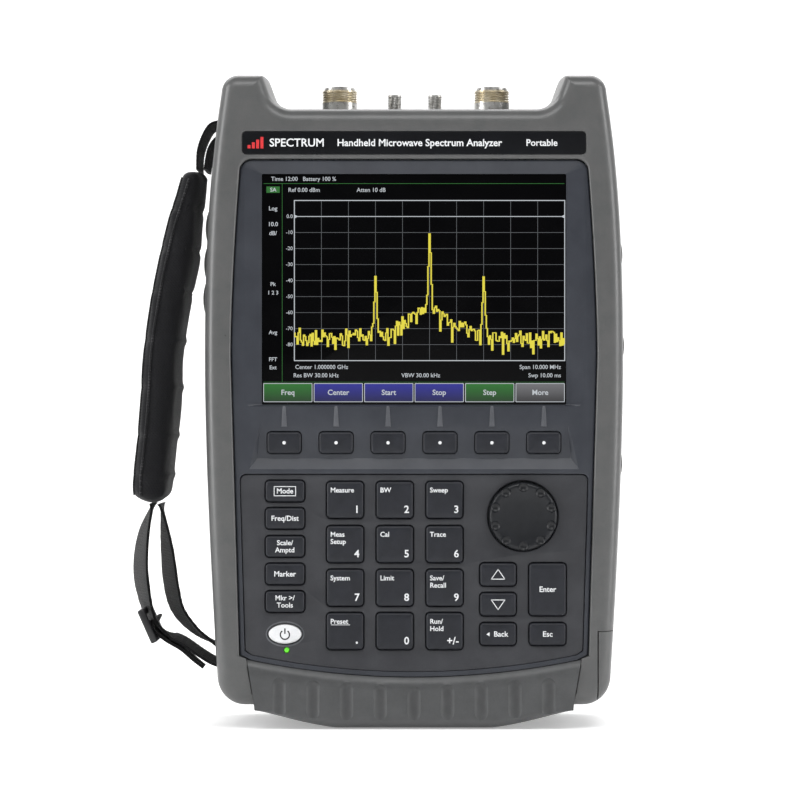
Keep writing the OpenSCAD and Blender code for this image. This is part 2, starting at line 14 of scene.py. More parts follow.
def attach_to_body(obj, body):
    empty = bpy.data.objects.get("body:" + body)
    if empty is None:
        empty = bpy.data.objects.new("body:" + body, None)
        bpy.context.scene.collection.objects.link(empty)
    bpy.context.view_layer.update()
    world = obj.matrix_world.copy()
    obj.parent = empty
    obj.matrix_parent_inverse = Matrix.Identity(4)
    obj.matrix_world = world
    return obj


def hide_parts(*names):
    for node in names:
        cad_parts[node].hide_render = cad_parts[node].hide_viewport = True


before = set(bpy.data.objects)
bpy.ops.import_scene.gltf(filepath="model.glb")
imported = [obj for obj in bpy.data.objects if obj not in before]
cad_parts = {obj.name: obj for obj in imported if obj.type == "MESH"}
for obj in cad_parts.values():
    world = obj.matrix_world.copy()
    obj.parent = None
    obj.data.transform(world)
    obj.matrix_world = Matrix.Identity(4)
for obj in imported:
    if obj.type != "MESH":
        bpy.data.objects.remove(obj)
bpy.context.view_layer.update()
MM = 0.001
scene = bpy.context.scene


# ---- materials

def rgb(*screen):
    """Linear colour from 0 to 255 values of a screen colour."""
    shares = [c / 255 for c in screen]
    return tuple(((c + 0.055) / 1.055) ** 2.4 if c > 0.04 else c / 12.92 for c in shares) + (1.0,)


class Shader:
    """A new material with its Principled shader, and short calls that add nodes to it."""

    def __init__(self, name):
        self.material = bpy.data.materials.new(name)
        self.material.use_nodes = True
        self.nodes = self.material.node_tree.nodes
        self.links = self.material.node_tree.links
        self.main = self.nodes["Principled BSDF"]
        self.place = self.nodes.new("ShaderNodeTexCoord").outputs["Object"]
        self.height = None

    def set(self, **values):
        for socket, value in values.items():
            self.main.inputs[socket.replace("_", " ")].default_value = value

    def stretch(self, x, y, z):
        node = self.nodes.new("ShaderNodeMapping")
        node.inputs["Scale"].default_value = (x, y, z)
        self.links.new(self.place, node.inputs["Vector"])
        return node.outputs["Vector"]

    def noise(self, size_mm, detail=3.0, rough=0.55, vector=None):
        """Noise with features about size_mm across."""
        node = self.nodes.new("ShaderNodeTexNoise")
        node.inputs["Scale"].default_value = 1000 / size_mm
        node.inputs["Detail"].default_value = detail
        node.inputs["Roughness"].default_value = rough
        self.links.new(vector or self.place, node.inputs["Vector"])
        return node.outputs["Fac"]

    def wave(self, pitch_mm, direction, profile="SIN", distortion=0.0, vector=None):
        """Bands along an axis, pitch_mm apart."""
        node = self.nodes.new("ShaderNodeTexWave")
        node.wave_profile = profile
        node.bands_direction = direction
        node.inputs["Scale"].default_value = 1000 * math.pi / 10 / pitch_mm
        node.inputs["Distortion"].default_value = distortion
        self.links.new(vector or self.place, node.inputs["Vector"])
        return node.outputs["Fac"]

    def math(self, operation, a, b):
        node = self.nodes.new("ShaderNodeMath")
        node.operation = operation
        for socket, value in zip(node.inputs, (a, b)):
            if isinstance(value, (int, float)):
                socket.default_value = value
            else:
                self.links.new(value, socket)
        return node.outputs["Value"]

    def ramp(self, factor, stops):
        """Colours at positions along a factor."""
        node = self.nodes.new("ShaderNodeValToRGB")
        elements = node.color_ramp.elements
        while len(elements) < len(stops):
            elements.new(0.5)
        for element, (position, colour) in zip(elements, stops):
            element.position = position
            element.color = colour
        self.links.new(factor, node.inputs["Fac"])
        return node.outputs["Color"]

    def span(self, factor, low, high, from_low=0.3, from_high=0.7):
        node = self.nodes.new("ShaderNodeMapRange")
        values = {"From Min": from_low, "From Max": from_high, "To Min": low, "To Max": high}
        for socket, value in values.items():
            node.inputs[socket].default_value = value
        self.links.new(factor, node.inputs["Value"])
        return node.outputs["Result"]

    def tones(self, factor, low, dark, high, light, socket="Base Color"):
        """A colour that runs from dark to light (0 to 255 values) as the factor goes from low to high."""
        colour = self.ramp(factor, [(low, rgb(*dark)), (high, rgb(*light))])
        self.links.new(colour, self.main.inputs[socket])

    def gloss(self, factor, low, high):
        """Roughness between two values."""
        self.links.new(self.span(factor, low, high), self.main.inputs["Roughness"])

    def mix(self, *shares):
        """The sum of (output, weight) pairs."""
        total = None
        for output, weight in shares:
            part = self.math("MULTIPLY", output, weight)
            total = self.math("ADD", total, part) if total else part
        return total

    def bump(self, height, depth_mm, strength=1.0):
        """Adds relief of depth_mm on top of what is there already."""
        node = self.nodes.new("ShaderNodeBump")
        node.inputs["Strength"].default_value = strength
        node.inputs["Distance"].default_value = depth_mm * MM
        self.links.new(height, node.inputs["Height"])
        if self.height:
            self.links.new(self.height, node.inputs["Normal"])
        self.height = node.outputs["Normal"]
        self.links.new(self.height, self.main.inputs["Normal"])


def moulded(name, dark, light, rough, patch=14, grain=0.55, depth=0.02, **values):
    """Moulded plastic or rubber: faint patches, fine grain, and handling marks in its gloss."""
    s = Shader(name)
    patches = s.noise(patch, 5.0, 0.62)
    fine = s.noise(grain, 2.0)
    s.tones(s.mix((patches, 0.75), (fine, 0.25)), 0.38, dark, 0.62, light)
    s.gloss(s.noise(38, 6.0, 0.7), rough - 0.07, rough + 0.07)
    s.bump(fine, depth)
    s.bump(patches, depth * 2.5, 0.5)
    s.set(**values)
    return s.material


def metal(name, dark, light, rough, brush="Z"):
    """Plated or turned metal: tarnish, turning marks and fine pits."""
    s = Shader(name)
    s.tones(s.noise(5, 6.0, 0.65), 0.35, dark, 0.65, light)
    s.gloss(s.noise(1.6, 4.0), rough - 0.08, rough + 0.1)
    s.set(Metallic=1.0)
    s.bump(s.wave(0.22, brush, distortion=1.5), 0.006)
    s.bump(s.noise(0.7), 0.008)
    return s.material


def webbing_material(name, dark, light):
    """Ribbed nylon: cross ribs, lengthwise yarns and loose fibres."""
    s = Shader(name)
    ribs = s.wave(1.3, "Z", distortion=1.2)
    yarns = s.wave(0.9, "Y", distortion=0.8)
    weave = s.math("MULTIPLY", ribs, yarns)
    fibres = s.noise(0.35, 4.0, vector=s.stretch(1, 4, 1))
    s.tones(s.mix((weave, 0.5), (fibres, 0.5)), 0.2, dark, 0.75, light)
    s.gloss(fibres, 0.68, 0.9)
    s.set(Sheen_Weight=0.1, Sheen_Roughness=0.4, Specular_IOR_Level=0.2)
    s.bump(weave, 0.16)
    s.bump(fibres, 0.05)
    return s.material


def fabric_material(name, dark, light):
    """Closely woven pad cloth: a crossed weave, slubs and lint."""
    s = Shader(name)
    warp = s.wave(0.75, "DIAGONAL", distortion=0.7)
    weft = s.wave(0.75, "Z", distortion=0.7)
    weave = s.math("MAXIMUM", warp, weft)
    slub = s.noise(1.1, 5.0, 0.7, vector=s.stretch(1, 1, 0.25))
    worn = s.noise(22, 5.0)
    s.tones(s.mix((weave, 0.35), (slub, 0.45), (worn, 0.3)), 0.25, dark, 0.85, light)
    s.gloss(slub, 0.72, 0.93)
    s.set(Sheen_Weight=0.12, Sheen_Roughness=0.45, Specular_IOR_Level=0.2)
    s.bump(weave, 0.1)
    s.bump(slub, 0.12)
    return s.material


def glass_material(name):
    """The display's cover: black behind gloss, with faint smears."""
    s = Shader(name)
    smear = s.noise(30, 5.0, 0.6, vector=s.stretch(1, 1, 2.2))
    s.tones(smear, 0.4, (1, 1, 2), 0.7, (3, 3, 4))
    s.gloss(smear, 0.06, 0.16)
    s.set(Specular_IOR_Level=0.1)
    s.bump(s.noise(60, 2.0), 0.02, 0.4)
    return s.material


def lit(s, strength):
    """Makes a shader shine, over a nearly black display."""
    s.tones(s.noise(3), 0.3, (4, 4, 4), 0.7, (8, 8, 8))
    s.set(Emission_Strength=strength, Roughness=0.5)
    return s.material


def glow(name, colour, strength):
    """Lit display dots: an even colour broken by the display's fine rows."""
    s = Shader(name)
    dim = [c * 0.86 for c in colour]
    s.tones(s.wave(0.42, "Z"), 0.0, dim, 0.6, colour, "Emission Color")
    return lit(s, strength)


def shaded_glow(name, low, high, z0, z1):
    """A lit label box whose colour changes from its lower edge to its upper one."""
    s = Shader(name)
    split = s.nodes.new("ShaderNodeSeparateXYZ")
    s.links.new(s.place, split.inputs["Vector"])
    up = s.span(split.outputs["Z"], 0.0, 1.0, z0 * MM, z1 * MM)
    s.tones(up, 0.0, low, 1.0, high, "Emission Color")
    return lit(s, 0.9)


def ink(name, colour):
    """Printed legends: slightly uneven paint."""
    s = Shader(name)
    wear = s.noise(0.8, 4.0)
    s.tones(wear, 0.3, [c * 0.88 for c in colour], 0.6, colour)
    s.gloss(wear, 0.42, 0.6)
    return s.material


def board_material(name):
    """A printed circuit board: green lacquer over copper tracks."""
    s = Shader(name)
    tracks = s.math("MULTIPLY", s.wave(2.6, "X", "SAW"), s.wave(5.2, "Z", "SAW", 2.0))
    s.tones(tracks, 0.3, (16, 70, 38), 0.55, (30, 104, 56))
    s.gloss(s.noise(6), 0.25, 0.45)
    s.bump(tracks, 0.04)
    return s.material


MATERIALS = {
    "case": moulded("case_plastic_look", (76, 77, 77), (83, 83, 83), 0.34, patch=9, depth=0.018),
    "boot": moulded("boot_rubber_look", (63, 64, 65), (71, 72, 73), 0.42, patch=7, depth=0.025),
    "slate": moulded("slate_plastic_look", (40, 43, 50), (48, 51, 58), 0.4, grain=0.4,
                     Specular_IOR_Level=0.4),
    "panel": moulded("panel_plastic_look", (43, 44, 48), (53, 54, 58), 0.44, grain=0.4,
                     Specular_IOR_Level=0.4),
    "rib": moulded("rib_plastic_look", (70, 72, 77), (84, 86, 91), 0.42, grain=0.4),
    "plate": moulded("name_plate_look", (9, 10, 13), (13, 14, 18), 0.3, depth=0.004, Specular_IOR_Level=0.2),
    "key": moulded("key_rubber_look", (22, 24, 30), (29, 31, 38), 0.46, patch=6, grain=0.35,
                   Specular_IOR_Level=0.35),
    "power": moulded("power_key_look", (212, 213, 215), (232, 233, 234), 0.4, grain=0.35),
    "ring": moulded("power_ring_look", (62, 64, 68), (96, 98, 102), 0.5, grain=0.35),
    "knob": moulded("knob_rubber_look", (15, 17, 21), (21, 23, 27), 0.4, patch=6, Specular_IOR_Level=0.35),
    "stand": moulded("stand_plastic_look", (50, 51, 53), (62, 63, 65), 0.5),
    "socket": moulded("socket_plastic_look", (24, 25, 27), (34, 35, 37), 0.45),
    "membrane": moulded("membrane_look", (74, 77, 81), (90, 93, 97), 0.6),
    "battery": moulded("battery_look", (28, 30, 34), (38, 40, 44), 0.5),
    "buckle": moulded("buckle_look", (20, 20, 22), (32, 32, 34), 0.42, patch=5),
    "led": moulded("led_look", (48, 140, 18), (92, 190, 46), 0.25, depth=0.004,
                   Emission_Color=rgb(96, 215, 40), Emission_Strength=0.55),
    "nickel": metal("nickel_look", (178, 176, 172), (226, 225, 222), 0.3),
    "steel": metal("steel_look", (140, 141, 143), (188, 189, 191), 0.34, "X"),
    "brass": metal("brass_look", (194, 182, 156), (232, 224, 206), 0.34),
    "teflon": moulded("insulator_look", (200, 198, 190), (226, 224, 217), 0.5, patch=3),
    "webbing": webbing_material("strap_webbing_look", (2, 2, 3), (10, 10, 12)),
    "fabric": fabric_material("pad_fabric_look", (5, 5, 7), (19, 19, 22)),
    "piping": webbing_material("pad_piping_look", (18, 18, 20), (62, 62, 64)),
    "glass": glass_material("window_glass_look"),
    "board": board_material("circuit_board_look"),
    "ink": ink("legend_ink_look", (226, 228, 230)),
    "red": ink("mark_ink_look", (206, 40, 44)),
    "grid": glow("screen_grid_look", (92, 96, 100), 0.8),
    "white": glow("screen_white_look", (214, 220, 226), 0.8),
    "yellow": glow("screen_trace_look", (236, 222, 62), 1.0),
    "green": glow("screen_green_look", (22, 118, 30), 0.8),
}


# ---- mesh helpers

def shade(obj, sharp=32):
    """Merges doubles, turns normals outwards, and shades smooth apart from edges over sharp degrees."""
    work = bmesh.new()
    work.from_mesh(obj.data)
    bmesh.ops.remove_doubles(work, verts=work.verts, dist=2e-6)
    bmesh.ops.recalc_face_normals(work, faces=work.faces)
    work.to_mesh(obj.data)
    work.free()
    obj.data.shade_smooth()
    obj.data.set_sharp_from_angle(angle=math.radians(sharp))
    return obj


def linked(name, mesh):
    """An object in the scene that shows a mesh."""
    obj = bpy.data.objects.new(name, mesh)
    scene.collection.objects.link(obj)
    return obj


def from_bmesh(work, name="tool"):
    """An object made from a bmesh, which is freed."""
    mesh = bpy.data.meshes.new(name)
    work.to_mesh(mesh)
    work.free()
    return linked(name, mesh)


def make(name, verts, faces, material=None, sharp=32):
    """A mesh object from points in millimetres."""
    mesh = bpy.data.meshes.new(name)
    mesh.from_pydata([[c * MM for c in v] for v in verts], [], faces)
    if material:
        mesh.materials.append(MATERIALS[material])
    return shade(linked(name, mesh), sharp)


def turns(count):
    """Angles spread evenly over one turn."""
    return [2 * math.pi * k / count for k in range(count)]


def layer(points, y):
    """A front view outline of (x, z) points, placed at depth y."""
    return [(x, y, z) for x, z in points]


def rectangle(x0, z0, x1, z1):
    return [(x0, z0), (x1, z0), (x1, z1), (x0, z1)]


def loft(rings):
    """Vertices and faces of a solid through rings of equal length, closed at both ends."""
    n = len(rings[0])
    verts = [p for ring in rings for p in ring]
    faces = [list(range(n)), list(range(len(verts) - n, len(verts)))]
    for r in range(len(rings) - 1):
        for i in range(n):
            j = (i + 1) % n
            faces.append([r * n + i, r * n + j, (r + 1) * n + j, (r + 1) * n + i])
    return verts, faces


def block(low, high):
    """A box, used as a cutting tool."""
    corners = rectangle(low[0], low[2], high[0], high[2])
    return make("tool", *loft([layer(corners, low[1]), layer(corners, high[1])]))


def rod(start, axis, length, radius, steps=64):
    """A cylinder from a point along an axis, used as a cutting tool."""
    axis = Vector(axis).normalized()
    side = axis.orthogonal().normalized()
    other = axis.cross(side)
    rings = []
    for centre in (Vector(start), Vector(start) + axis * length):
        rings.append([centre + (side * math.cos(a) + other * math.sin(a)) * radius for a in turns(steps)])
    return make("tool", *loft(rings))


def ball(centre, radius):
    """A round ball, used as a cutting tool."""
    work = bmesh.new()
    bmesh.ops.create_uvsphere(work, u_segments=32, v_segments=20, radius=radius * MM)
    bmesh.ops.translate(work, verts=work.verts, vec=Vector(centre) * MM)
    return from_bmesh(work)


def settle(obj):
    """Applies every modifier of obj to its mesh."""
    graph = bpy.context.evaluated_depsgraph_get()
    mesh = bpy.data.meshes.new_from_object(obj.evaluated_get(graph), depsgraph=graph)
    obj.modifiers.clear()
    obj.data = mesh
    return obj


def combine(obj, tools, operation="DIFFERENCE"):
    """Cuts away, adds or keeps what each tool holds. The tools are used up."""
    for tool in tools:
        tool.data.materials.clear()
        for material in obj.data.materials:
            tool.data.materials.append(material)
        modifier = obj.modifiers.new("combine", "BOOLEAN")
        modifier.solver = "MANIFOLD"
        modifier.operation = operation
        modifier.object = tool
        settle(obj)
        bpy.data.objects.remove(tool)
    return obj


def join(name, objs, sharp=32):
    """One object out of several."""
    verts, faces, slots, materials = [], [], [], []
    for obj in objs:
        base = len(verts)
        own = list(obj.data.materials)
        materials += [m for m in own if m not in materials]
        verts += [v.co.copy() for v in obj.data.vertices]
        for p in obj.data.polygons:
            faces.append([base + i for i in p.vertices])
            slots.append(materials.index(own[p.material_index]))
    mesh = bpy.data.meshes.new(name)
    mesh.from_pydata(verts, [], faces)
    for m in materials:
        mesh.materials.append(m)
    mesh.polygons.foreach_set("material_index", slots)
    for obj in objs:
        bpy.data.objects.remove(obj)
    mesh.shade_smooth()
    mesh.set_sharp_from_angle(angle=math.radians(sharp))
    return linked(name, mesh)


def attach(obj, body, nodes=()):
    """Says what obj rides on, and which CAD nodes it stands for."""
    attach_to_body(obj, body)
    if nodes:
        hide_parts(*nodes)
    return obj


def refined(node, name, material, width, body="case"):
    """A copy of a CAD node with its flat faces merged and its edges rounded."""
    work = bmesh.new()
    work.from_mesh(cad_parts[node].data)
    bmesh.ops.remove_doubles(work, verts=work.verts, dist=2e-6)
    bmesh.ops.dissolve_limit(work, angle_limit=math.radians(1.5), verts=work.verts, edges=work.edges)
    edges = [e for e in work.edges if len(e.link_faces) == 2 and e.calc_face_angle() > math.radians(35)]
    bmesh.ops.bevel(work, geom=edges, offset=width * MM, offset_type="OFFSET", segments=2, profile=0.5,
                    affect="EDGES", clamp_overlap=True)
    obj = from_bmesh(work, name)
    obj.data.materials.append(MATERIALS[material])
    return attach(shade(obj), body, [node])


# ---- outlines

HALF_D = 36.0
SIDE_BULGE = 2.5
BACK_BULGE = 3.0
FRONT_EDGE_R = 5.5
BACK_EDGE_R = 5.0
CASE_BOTTOM = 9.0
TOP_EDGE_Z = 277.0
SHELF_Z = 268.0
HORN_Z = 283.0
CASE_H = 292.0
FACE_TOP = 252.5
THROUGH_Y = -29.0


def arc(cx, cz, r, start, end, steps):
    """Points on an arc between two angles in degrees."""
    angles = [math.radians(start + (end - start) * k / steps) for k in range(steps + 1)]
    return [(cx + r * math.cos(a), cz + r * math.sin(a)) for a in angles]


def half_w(z):
    """Half width of the case at a height."""
    if z > 160:
        return 94.5 - 6.5 * ((z - 160) / 117) ** 2.6
    return 94.5 - 6 * ((160 - z) / 144) ** 1.6


def case_inset(y):
    """How far the outline at depth y lies inside the widest one."""
    bulge = (SIDE_BULGE if y < 0 else BACK_BULGE) * (y / HALF_D) ** 2
    for d, r in ((y + HALF_D, FRONT_EDGE_R), (HALF_D - y, BACK_EDGE_R)):
        if d < r:
            bulge += r - math.sqrt(max(0, r * r - (r - d) ** 2))
    return bulge


def mirrored(right):
    """A closed outline from its right half, which starts and ends near x = 0."""
    return right + [(-x, z) for x, z in reversed(right) if x > 0.01]


def case_outline(t):
    """The case seen from the front, drawn in by t."""
    right = [(0, CASE_BOTTOM + t), (26, CASE_BOTTOM + t), (52, CASE_BOTTOM + t)]
    right += arc(half_w(23) - 14, 23, 14 - t, -90, -4, 12)
    right += [(half_w(z) - t, z) for z in range(26, 280, 6)]
    right += arc(half_w(HORN_Z) - 9, HORN_Z, 9 - t, 0, 90, 12)
    inner_r = max(0.8, 3 - t)
    d = t + inner_r
    right += arc(68.3 + 0.7 * (d - 3), CASE_H - d, inner_r, 90, 160, 9)
    right += arc(54.4, HORN_Z + 3, 9 + t, -20, -90, 10)
    right += [(36, TOP_EDGE_Z - t), (18, TOP_EDGE_Z - t), (0, TOP_EDGE_Z - t)]
    return mirrored(right)


def case_depths():
    """Depths of the case's rings: dense on the rounded edges."""
    steps = [math.radians(9 * k) for k in range(10)]
    front = [-HALF_D + FRONT_EDGE_R * (1 - math.cos(a)) for a in steps]
    back = [HALF_D - BACK_EDGE_R * (1 - math.cos(a)) for a in reversed(steps)]
    middle = [-30.5 + 4 + 4 * k for k in range(15)]
    return front + [-HALF_D + FRONT_EDGE_R] + [y for y in middle if y < 30] + [HALF_D - BACK_EDGE_R] + back


def case_solid(name="tool", material=None):
    """The whole case as one solid."""
    rings = [layer(case_outline(case_inset(y)), y) for y in case_depths()]
    return make(name, *loft(rings), material)


def face_w(z):
    """Half width of the dark face at a height."""
    if z > 165:
        return 81 - 4.2 * ((z - 165) / 86) ** 1.6
    return 81 - 4 * (165 - z) / 137


def chin_top(x):
    """Height of the arc along the boot's top edge."""
    return 23.4 + 355 - math.sqrt(355 ** 2 - x * x)


def face_outline(t, top=FACE_TOP, corner=5.0, low=0.0):
    """The dark face drawn in by t, between the boot's arc and a top edge."""
    right = [(x, chin_top(x) + low) for x in range(0, 74, 4)]
    bottom = chin_top(72) + low + 2
    bend = top - t - corner
    count = max(4, int((top - corner - bottom) / 5))
    for k in range(count + 1):
        z = bottom + (bend - bottom) * k / count
        right.append((face_w(z) - t, z))
    for a in [math.radians(10 * k) for k in range(1, 10)]:
        z = bend + corner * math.sin(a)
        right.append((face_w(z) - t - corner + corner * math.cos(a), z))
    right += [(40, top - t), (0, top - t)]
    return mirrored(right)


def round_rect(w, h, r, t=0.0, steps=6):
    """A rectangle with round corners, centred, drawn in by t."""
    x, z, c = w / 2 - t, h / 2 - t, max(0.15, r - t)
    points = []
    for sx, sz, start in ((1, -1, -90), (1, 1, 0), (-1, 1, 90), (-1, -1, 180)):
        points += arc(sx * (x - c), sz * (z - c), c, start, start + 90, steps)
    return points


def oval(w, h, t=0.0, steps=48):
    """An ellipse, centred, drawn in by t."""
    return [((w / 2 - t) * math.cos(a), (h / 2 - t) * math.sin(a)) for a in turns(steps)]


def moved(points, x, z):
    return [(px + x, pz + z) for px, pz in points]


def rounded_rings(outline, front, back, edge, sign=1, lead=0.0):
    """Rings from a front face to a back one. The front edge is rounded inwards (sign 1) or flares (-1)."""
    rings = [layer(outline(sign * edge), front - lead)] if lead else []
    for k in range(5):
        a = math.pi / 2 * k / 5
        rings.append(layer(outline(sign * edge * (1 - math.sin(a))), front + edge * (1 - math.cos(a))))
    return rings + [layer(outline(0), y) for y in (front + edge, back)]


def plate(name, outline, front, back, edge, material):
    """A flat part with a rounded front edge."""
    return make(name, *loft(rounded_rings(outline, front, back, edge)), material)


def pocket(outline, front, edge, back=THROUGH_Y):
    """A cutting tool whose mouth flares, so that it leaves a rounded rim."""
    return make("tool", *loft(rounded_rings(outline, front, back, edge, sign=-1, lead=2.0)))


# ---- the case

SCREWS = [(x, z) for z, reach in ((258, 72), (165, 78), (28, 70)) for x in (-reach, reach)]
STAND_Y = 32.4
STAND_Z = 150.0
GAP = 0.2
PARTING_Y = 16.0
TROUGH_X = 54.0
TROUGH_Y = 26.0
WALL = 3.2
BARS = [(-84.5, 268.5, 7.0), (-83.5, 29.0, 8.0)]
PORT_X = {"rf": (-33.8, 35.4), "sma": (-8.8, 9.5)}
DOORS = {"usb": (186, 232, 89.6, 211.5), "lan": (150, 182, 91, 170.5), "power": (102, 140, 91, 117.5)}
BATTERY_SEAM_X = 81.5
BATTERY_DOOR_Z = 43.5
PLATE_W = 152.0
PLATE_H = 10.0
PLATE_Z = 259.8


def door_tool(door, g):
    """A block as large as a door, or larger by g for its opening."""
    low_x = 80 if g > 0 else door[2]
    return block((low_x, -12 - 2 * g, door[0] - g), (110, 14 + g, door[1] + g))


def boot_end(z):
    """How far the boot's ends lean in towards its foot."""
    return 70.5 + 3.5 * min(1.0, max(0.0, (z - 11) / (chin_top(74) - 11)))


def boot_recess_outline(t):
    """The room for the boot in the front housing."""
    right = [(0, 3), (66, 3), (boot_end(3) + GAP - t, 3)]
    right += [(boot_end(z) + GAP - t, z) for z in (11, 16, 21, 26, 31)]
    right += [(74 + GAP - t, chin_top(74) + 3)]
    right += [(x, chin_top(x) + 3) for x in range(70, -1, -5)]
    return mirrored(right)


def shelf_tools():
    """Solids added inside the case: the trough's floor and walls, and the strap pockets' walls."""
    x, y = TROUGH_X + WALL, TROUGH_Y + WALL
    tools = [block((-x, -y, SHELF_Z - WALL - 0.01), (x, y, SHELF_Z + 5))]
    for bar_x, bar_z, up in BARS:
        tools.append(block((-84.6, -18.5, bar_z - 8.5), (bar_x + 7.5, 18.5, bar_z + up + 2)))
    return tools


def common_cuts():
    """Openings that the front and rear shells share: trough, ports, strap pockets, boot, battery."""
    tools = [block((-TROUGH_X, -TROUGH_Y, SHELF_Z), (TROUGH_X, TROUGH_Y, 300))]
    for kind, radius in (("rf", 5.0), ("sma", 2.6)):
        tools += [rod((x, 0, SHELF_Z - 13), (0, 0, 1), 20, radius) for x in PORT_X[kind]]
    for bar_x, bar_z, up in BARS:
        tools.append(block((-110, -16.5, bar_z - 6.5), (bar_x + 5.5, 16.5, bar_z + up)))
        tools.append(rod((bar_x, -18, bar_z), (0, 1, 0), 36, 2.05))
    tools.append(block((-74.2, -40, -1), (74.2, 34, CASE_BOTTOM + GAP)))
    tools.append(block((BATTERY_SEAM_X - 0.3, -40, -1), (110, 24.3, BATTERY_DOOR_Z + 0.3)))
    tools.append(block((-58, -25, 18), (81.5, 25, 42.8)))
    return tools


def hollow_case(name):
    """The whole case, hollowed out, with its inner walls and shared openings."""
    shell = case_solid(name, "case")
    combine(shell, [block((-80, -32.8, 18), (80, 31.3, SHELF_Z - WALL))])
    combine(shell, [block((-85, -22, 25), (85, 24, SHELF_Z - WALL))])
    combine(shell, shelf_tools(), "UNION")
    return combine(shell, common_cuts())


def front_shell():
    shell = hollow_case("shell_front")
    tools = [block((-120, PARTING_Y, -5), (120, 60, 320))]
    tools.append(pocket(lambda t: face_outline(t - GAP), -HALF_D, 1.1))
    tools.append(pocket(boot_recess_outline, -HALF_D, 0.6, -30.5))
    plate_slot = lambda t: moved(round_rect(PLATE_W + 0.4, PLATE_H + 0.4, 2, t), 0, PLATE_Z)
    tools.append(pocket(plate_slot, -HALF_D, 0.35, -35))
    tools += [door_tool(door, 0.3) for door in DOORS.values()]
    combine(shell, tools)
    ribs = []
    for z in (191.5, 207.2, 223.2):
        rib = rod((22.2 - half_w(z), -12, z), (0, 1, 0), 24, 23, 160)
        ribs.append(combine(rib, [block((-100, -13, z - 7.5), (-91, 13, z + 7.5))], "INTERSECT"))
    combine(shell, ribs, "UNION")
    return attach(shade(shell), "case", ["front_housing"])


def rear_shell():
    shell = hollow_case("shell_rear")
    combine(shell, [block((-61, 26, 36), (61, 35, 157))], "UNION")
    tools = [block((-120, -60, -5), (120, PARTING_Y + GAP, 320))]
    tools += stand_channel_tools()
    tools += [vent_tool(180 + 9 * k) for k in range(8)]
    for x, z in SCREWS:
        tools.append(rod((x, HALF_D - 3, z), (0, 1, 0), 4, 4.2))
        tools.append(rod((x, HALF_D - 0.5, z), (0, 1, 0), 4, 4.7))
    combine(shell, tools)
    return attach(shade(shell), "case", ["rear_cover"])


def stand_channel_tools():
    """The channels that the folded stand lies in, its pivot holes and a finger notch."""
    y0 = STAND_Y - 2.8
    tools = []
    for x in (-49, 49):
        tools.append(block((x - 6.5, y0, 47.5), (x + 6.5, 40, STAND_Z + 3.5)))
        tools.append(rod((x - 9.6, STAND_Y, STAND_Z), (1, 0, 0), 19.2, 2.06))
    tools.append(block((-55, y0, 47.4), (55, 40, 60.5)))
    tools.append(block((-14, y0, 39), (14, 40, 48)))
    return tools


def vent_tool(z):
    """A shallow cooling groove with round ends and sloped sides."""
    steps = ((1, -1.0), (0, -0.5), (-0.7, 0.1), (-1.4, 0.8))
    rings = [layer(moved(round_rect(112, 4, 1.9, t), 0, z), HALF_D + dy) for dy, t in steps]
    return make("tool", *loft(rings))


def port_door(name, door):
    """A port's door, cut from the case's own shape, with a finger tab."""
    cover = case_solid(name + "_cover_shell", "case")
    combine(cover, [door_tool(door, 0)], "INTERSECT")
    z = door[3]
    tab = rod((half_w(z) - 22.4, -8, z), (0, 1, 0), 16, 23, 160)
    combine(tab, [block((91.5, -9, z - 7), (100, 9, z + 7))], "INTERSECT")
    combine(cover, [tab], "UNION")
    return attach(shade(cover), name + "_cover", [name + "_door"])


def battery_door():
    """The corner door over the battery."""
    cover = case_solid("battery_cover_shell", "case")
    box = block((BATTERY_SEAM_X + GAP, -37, 0), (110, 24, BATTERY_DOOR_Z))
    combine(cover, [box], "INTERSECT")
    return attach(shade(cover), "battery_cover", ["battery_door"])


def boot_bottom(x):
    """Height of the boot's underside, which rises towards its ends."""
    return 0.0626 * max(0.0, abs(x) - 36) ** 1.35


def boot_section(x):
    """The boot's side profile, as (y, z) points, at a distance from its middle."""
    top = chin_top(x)
    profile = [(33, 8.8), (33, 2), (32.4, 0.7), (31, 0), (-26, 0), (-28.2, 0.3), (-30, 0.8), (-31.6, 1.45)]
    profile += [(-33, 2.25), (-34.2, 3.2), (-35.2, 4.3), (-35.85, 5.4), (-36.3, 6.5), (-36.6, 8)]
    profile += [(-36.6, 8 + (top - 11.6) * j / 4) for j in range(1, 5)]
    profile += [(-35.9, top - 2.2), (-34.9, top - 0.5), (-34.2, top), (-30.8, top), (-30.8, 8.8)]
    low = boot_bottom(x)
    return [(y, z if z >= 8.8 else low + z * (8.8 - low) / 8.8) for y, z in profile]


def boot():
    """The rubber boot: a sole, and a chin that rises in front with finger grooves."""
    rings = [[(x * boot_end(z) / 74, y, z) for y, z in boot_section(x)] for x in range(-74, 75)]
    body = make("boot_shell", *loft(rings), "boot")
    tools = []
    for k in range(-4, 5):
        top = 16.5 + abs(k) * 0.9
        groove = rod((k * 14.9, -39.2, -2), (0, 0, 1), top + 2, 4)
        tools.append(combine(groove, [ball((k * 14.9, -39.2, top), 4)], "UNION"))
    combine(body, tools)
    return attach(shade(body, 28), "case", ["bottom_boot"])


# ---- the face

BEZEL_Y = -34.8
PANEL_Y = -34.2
PANEL_BACK_Y = -31.7
PANEL_TOP = 115.5
SCREEN_W = 135.0
SCREEN_H = 102.3
SCREEN_Z = 195.15
KNOB_X = 48.2
KNOB_Z = 94.6
LED_X = -56.4
LED_Z = 35.2
SOFT_Z = 127.1
SOFT_X = [(i - 2.5) * 23 for i in range(6)]
NUMBER_X = (-30.5, -8.5, 13.5)
NUMBER_Z = (101.8, 82.2, 62.9, 43.7)
LEFT_X = -57.1
ARROW_X = 37.2
RIGHT_X = 59.1
LOW_ROW_Z = 42.4

